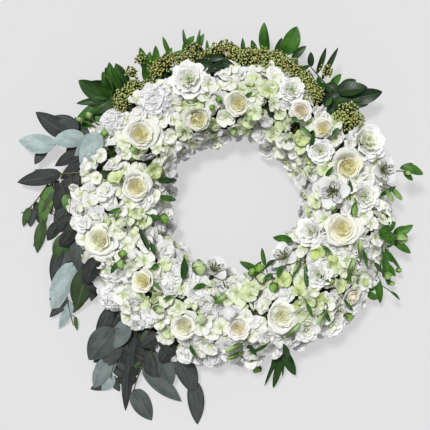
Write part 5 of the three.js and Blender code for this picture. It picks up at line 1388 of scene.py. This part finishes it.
def spray_leaf(g, row, kind, k, q, euc, share=1.0):
    bx, by, bz, tx, ty, tz, w, roll, arch = row
    w = w * share
    b, t = np.array([bx, by, bz], float), np.array([tx, ty, tz], float)
    d = unit(t - b)
    L = np.linalg.norm(t - b)
    across = unit(np.cross((0, 0, 1), d))
    up = np.cross(d, across)
    rr = math.radians(roll)
    up = up * math.cos(rr) + across * math.sin(rr)
    if euc:
        blade(g, b, d, up, L * 1.04, w * 1.14, k, kind, 8, 14, cup=-w * 0.05, arch=arch, tip_power=0.92, peak=0.40, power=0.5, droop=L * 0.03,
              wave=w * 0.035, phase=q.uniform(0, 6.28), fold=-w * 0.05, side=w * q.uniform(-0.12, 0.12), twist=q.uniform(-0.12, 0.12))
    else:
        blade(g, b, d, up, L * 1.02, w * 1.10, k, kind, 8, 14, cup=w * 0.04, arch=arch, tip_power=0.84, peak=0.46, power=0.6, droop=L * 0.04,
              wave=w * 0.03, phase=q.uniform(0, 6.28), fold=w * 0.09, side=w * q.uniform(-0.08, 0.08), twist=q.uniform(-0.15, 0.15))


AUTO_STOP = {"eucalyptus_02": 30, "eucalyptus_04": 20}
# where no dark pairs of leaves grow: x, y, radius in mm
BARE_SPOTS = [(-310, 118, 36), (93, 242, 20), (183, 182, 20), (-262, -200, 34), (-266, -168, 22), (-296, 88, 26), (-298, 56, 26), (-294, 118, 22), (-330, 24, 24), (-134, -300, 24), (-230, -230, 24), (-38, -266, 22), (-104, -300, 16)]
WIDTH_SHARE = {"leaves_02": 0.8, "leaves_03": 0.98, "leaves_04": 0.94, "leaves_05": 0.8}
for si, (name, sp) in enumerate(SPRAYS.items()):
    g = Geo()
    q = np.random.default_rng(700 + si)
    euc = name in EUC_SPRAYS
    for poly in sp["stems"]:
        tube(g, poly, 1.5, 0.9, 3, 6, 12 if euc else 5)
    rows = [(r, LEAF_KIND[name][i % len(LEAF_KIND[name])]) for i, r in enumerate(sp["leaves"])]
    rows += [(r[:9], (r[9], r[10])) for r in EXTRA_LEAVES.get(name, [])]
    for row, (kind, k) in rows:
        spray_leaf(g, row, kind, k, q, euc, WIDTH_SHARE.get(name, 1.0))
        bx, by, bz = row[:3]
        # the leaf's stalk runs back to the nearest point of the twigs
        pts = np.array([p for poly in sp["stems"] for p in poly], float)
        seg = []
        for poly in sp["stems"]:
            P = np.array(poly, float)
            for a, b2 in zip(P[:-1], P[1:]):
                for f in np.linspace(0, 1, 9):
                    seg.append(a + (b2 - a) * f)
        seg = np.array(seg)
        b = np.array([bx, by, bz], float)
        d = unit(np.array(row[3:6], float) - b)
        near = seg[np.argmin(((seg - (b - d * 5)) ** 2).sum(1))]
        tube(g, [near, (near + b) / 2 + np.array([0, 0, 1.0]), b + d * 1.5], 0.8, 0.55, 3, 5, 12 if euc else 5, sub=3)
    if euc:
        for poly in sp["stems"]:
            P = np.array(poly, float)
            D = np.linalg.norm(np.diff(P, axis=0), axis=1)
            total = D.sum()
            at = 14.0
            total_to = total - AUTO_STOP.get(name, 3)
            side = 1
            while at < total_to:
                i = int(np.searchsorted(np.cumsum(D), at))
                i = min(i, len(D) - 1)
                f = (at - (np.cumsum(D)[i] - D[i])) / D[i]
                b = P[i] + (P[i + 1] - P[i]) * f
                d = unit(P[i + 1] - P[i])
                sidev = unit(np.cross((0, 0, 1), d)) * side
                dirn = unit(d * q.uniform(0.3, 0.9) + sidev * q.uniform(0.5, 1.0))
                L = q.uniform(36, 50) * (1 - 0.2 * at / total)
                tip = b + dirn * L
                tip[2] = max(b[2] - 4 - L * q.uniform(0.1, 0.4), 3.5)
                b = b - np.array([0, 0, 5.0])
                b[2] = max(b[2], 3.5)
                rho = math.hypot(tip[0], tip[1])
                bare = any((tip[0] - a) ** 2 + (tip[1] - b2) ** 2 < r * r for a, b2, r in BARE_SPOTS)
                if rho > 250 and abs(tip[0]) < 348 and abs(tip[1]) < 350 and not bare:
                    # dark eucalyptus leaves along the twigs, shades 0 to 3: near black as painted shade, partly the
                    # leaves' own tone
                    spray_leaf(g, (*b, *tip, q.uniform(12, 18), q.uniform(-12, 12), 2), 0 if q.uniform() < 0.88 else 1, int(q.integers(0, 4)), q, True)
                side = -side
                at += q.uniform(7, 10)
    for (x, y, z, r, dx, dy) in sp["buds"] + EXTRA_BUDS.get(name, []):
        bud(g, (x, y, z), unit((dx, dy, 0.35)), r * 0.85, r * 2.3, 3, 4, 3, ck=8, sepals=5)
    emit(g, name + "_foliage", [EUC_M, EUCG_M, GLOSSY_M, STEM_M, BUD_M], name)

# ------------------------------------------------------------------ floor, light, camera
me = bpy.data.meshes.new("floor")
me.from_pydata([(-6, -6, 0), (6, -6, 0), (6, 6, 0), (-6, 6, 0)], [], [(0, 1, 2, 3)])
floor = bpy.data.objects.new("floor", me)
bpy.context.scene.collection.objects.link(floor)
m, nt = nodes_of("floor")
out = nt.nodes.new("ShaderNodeOutputMaterial")
df = nt.nodes.new("ShaderNodeBsdfDiffuse")
df.inputs["Color"].default_value = (FLOOR_D, FLOOR_D, FLOOR_D, 1)
em = nt.nodes.new("ShaderNodeEmission")
em.inputs["Color"].default_value = (1, 1, 1, 1)
em.inputs["Strength"].default_value = FLOOR_E
ad = nt.nodes.new("ShaderNodeAddShader")
link(nt, df.outputs[0], ad.inputs[0])
link(nt, em.outputs[0], ad.inputs[1])
link(nt, ad.outputs[0], out.inputs["Surface"])
me.materials.append(m)

sc = bpy.context.scene
sc.view_settings.view_transform = "Standard"
sc.view_settings.look = "None"
world = bpy.data.worlds.new("studio")
world.use_nodes = True
world.node_tree.nodes["Background"].inputs["Color"].default_value = (0.97, 0.98, 1.0, 1)
world.node_tree.nodes["Background"].inputs["Strength"].default_value = WORLD
sc.world = world


def area(name, loc, target, size, power, color=(1, 1, 1)):
    L = bpy.data.lights.new(name, "AREA")
    L.shape = "DISK"
    L.size = size
    L.energy = power
    L.color = color
    ob = bpy.data.objects.new(name, L)
    ob.location = loc
    ob.rotation_euler = (Vector(target) - Vector(loc)).to_track_quat("-Z", "Y").to_euler()
    sc.collection.objects.link(ob)
    return ob


sun = bpy.data.lights.new("key", "SUN")
sun.energy = KEY
sun.angle = math.radians(SOFT)
sob = bpy.data.objects.new("key", sun)
sob.rotation_euler = Vector((0.22, -0.34, -1.0)).to_track_quat("-Z", "Y").to_euler()
sc.collection.objects.link(sob)
area("fill", (2.6, -1.6, 3.4), (0, 0, 0.05), 3.0, FILL, (0.97, 0.98, 1.0))

cam = bpy.data.cameras.new("camera")
cam.lens = 36 * 1830 / 688
cam.sensor_width = 36
cam.clip_start = 0.05
cam.clip_end = 30
cob = bpy.data.objects.new("camera", cam)
cob.location = ((OX - 30.4) / 1000, (OY - 16.0) / 1000, 1.9)
cob.rotation_euler = (0, 0, 0)
sc.collection.objects.link(cob)
sc.camera = cob

tris = {o.name: sum(len(p.vertices) - 2 for p in o.data.polygons) for o in PIECES}
print("triangles", sum(tris.values()), "largest", max(tris.items(), key=lambda kv: kv[1]), "florets", count, len(placed2))
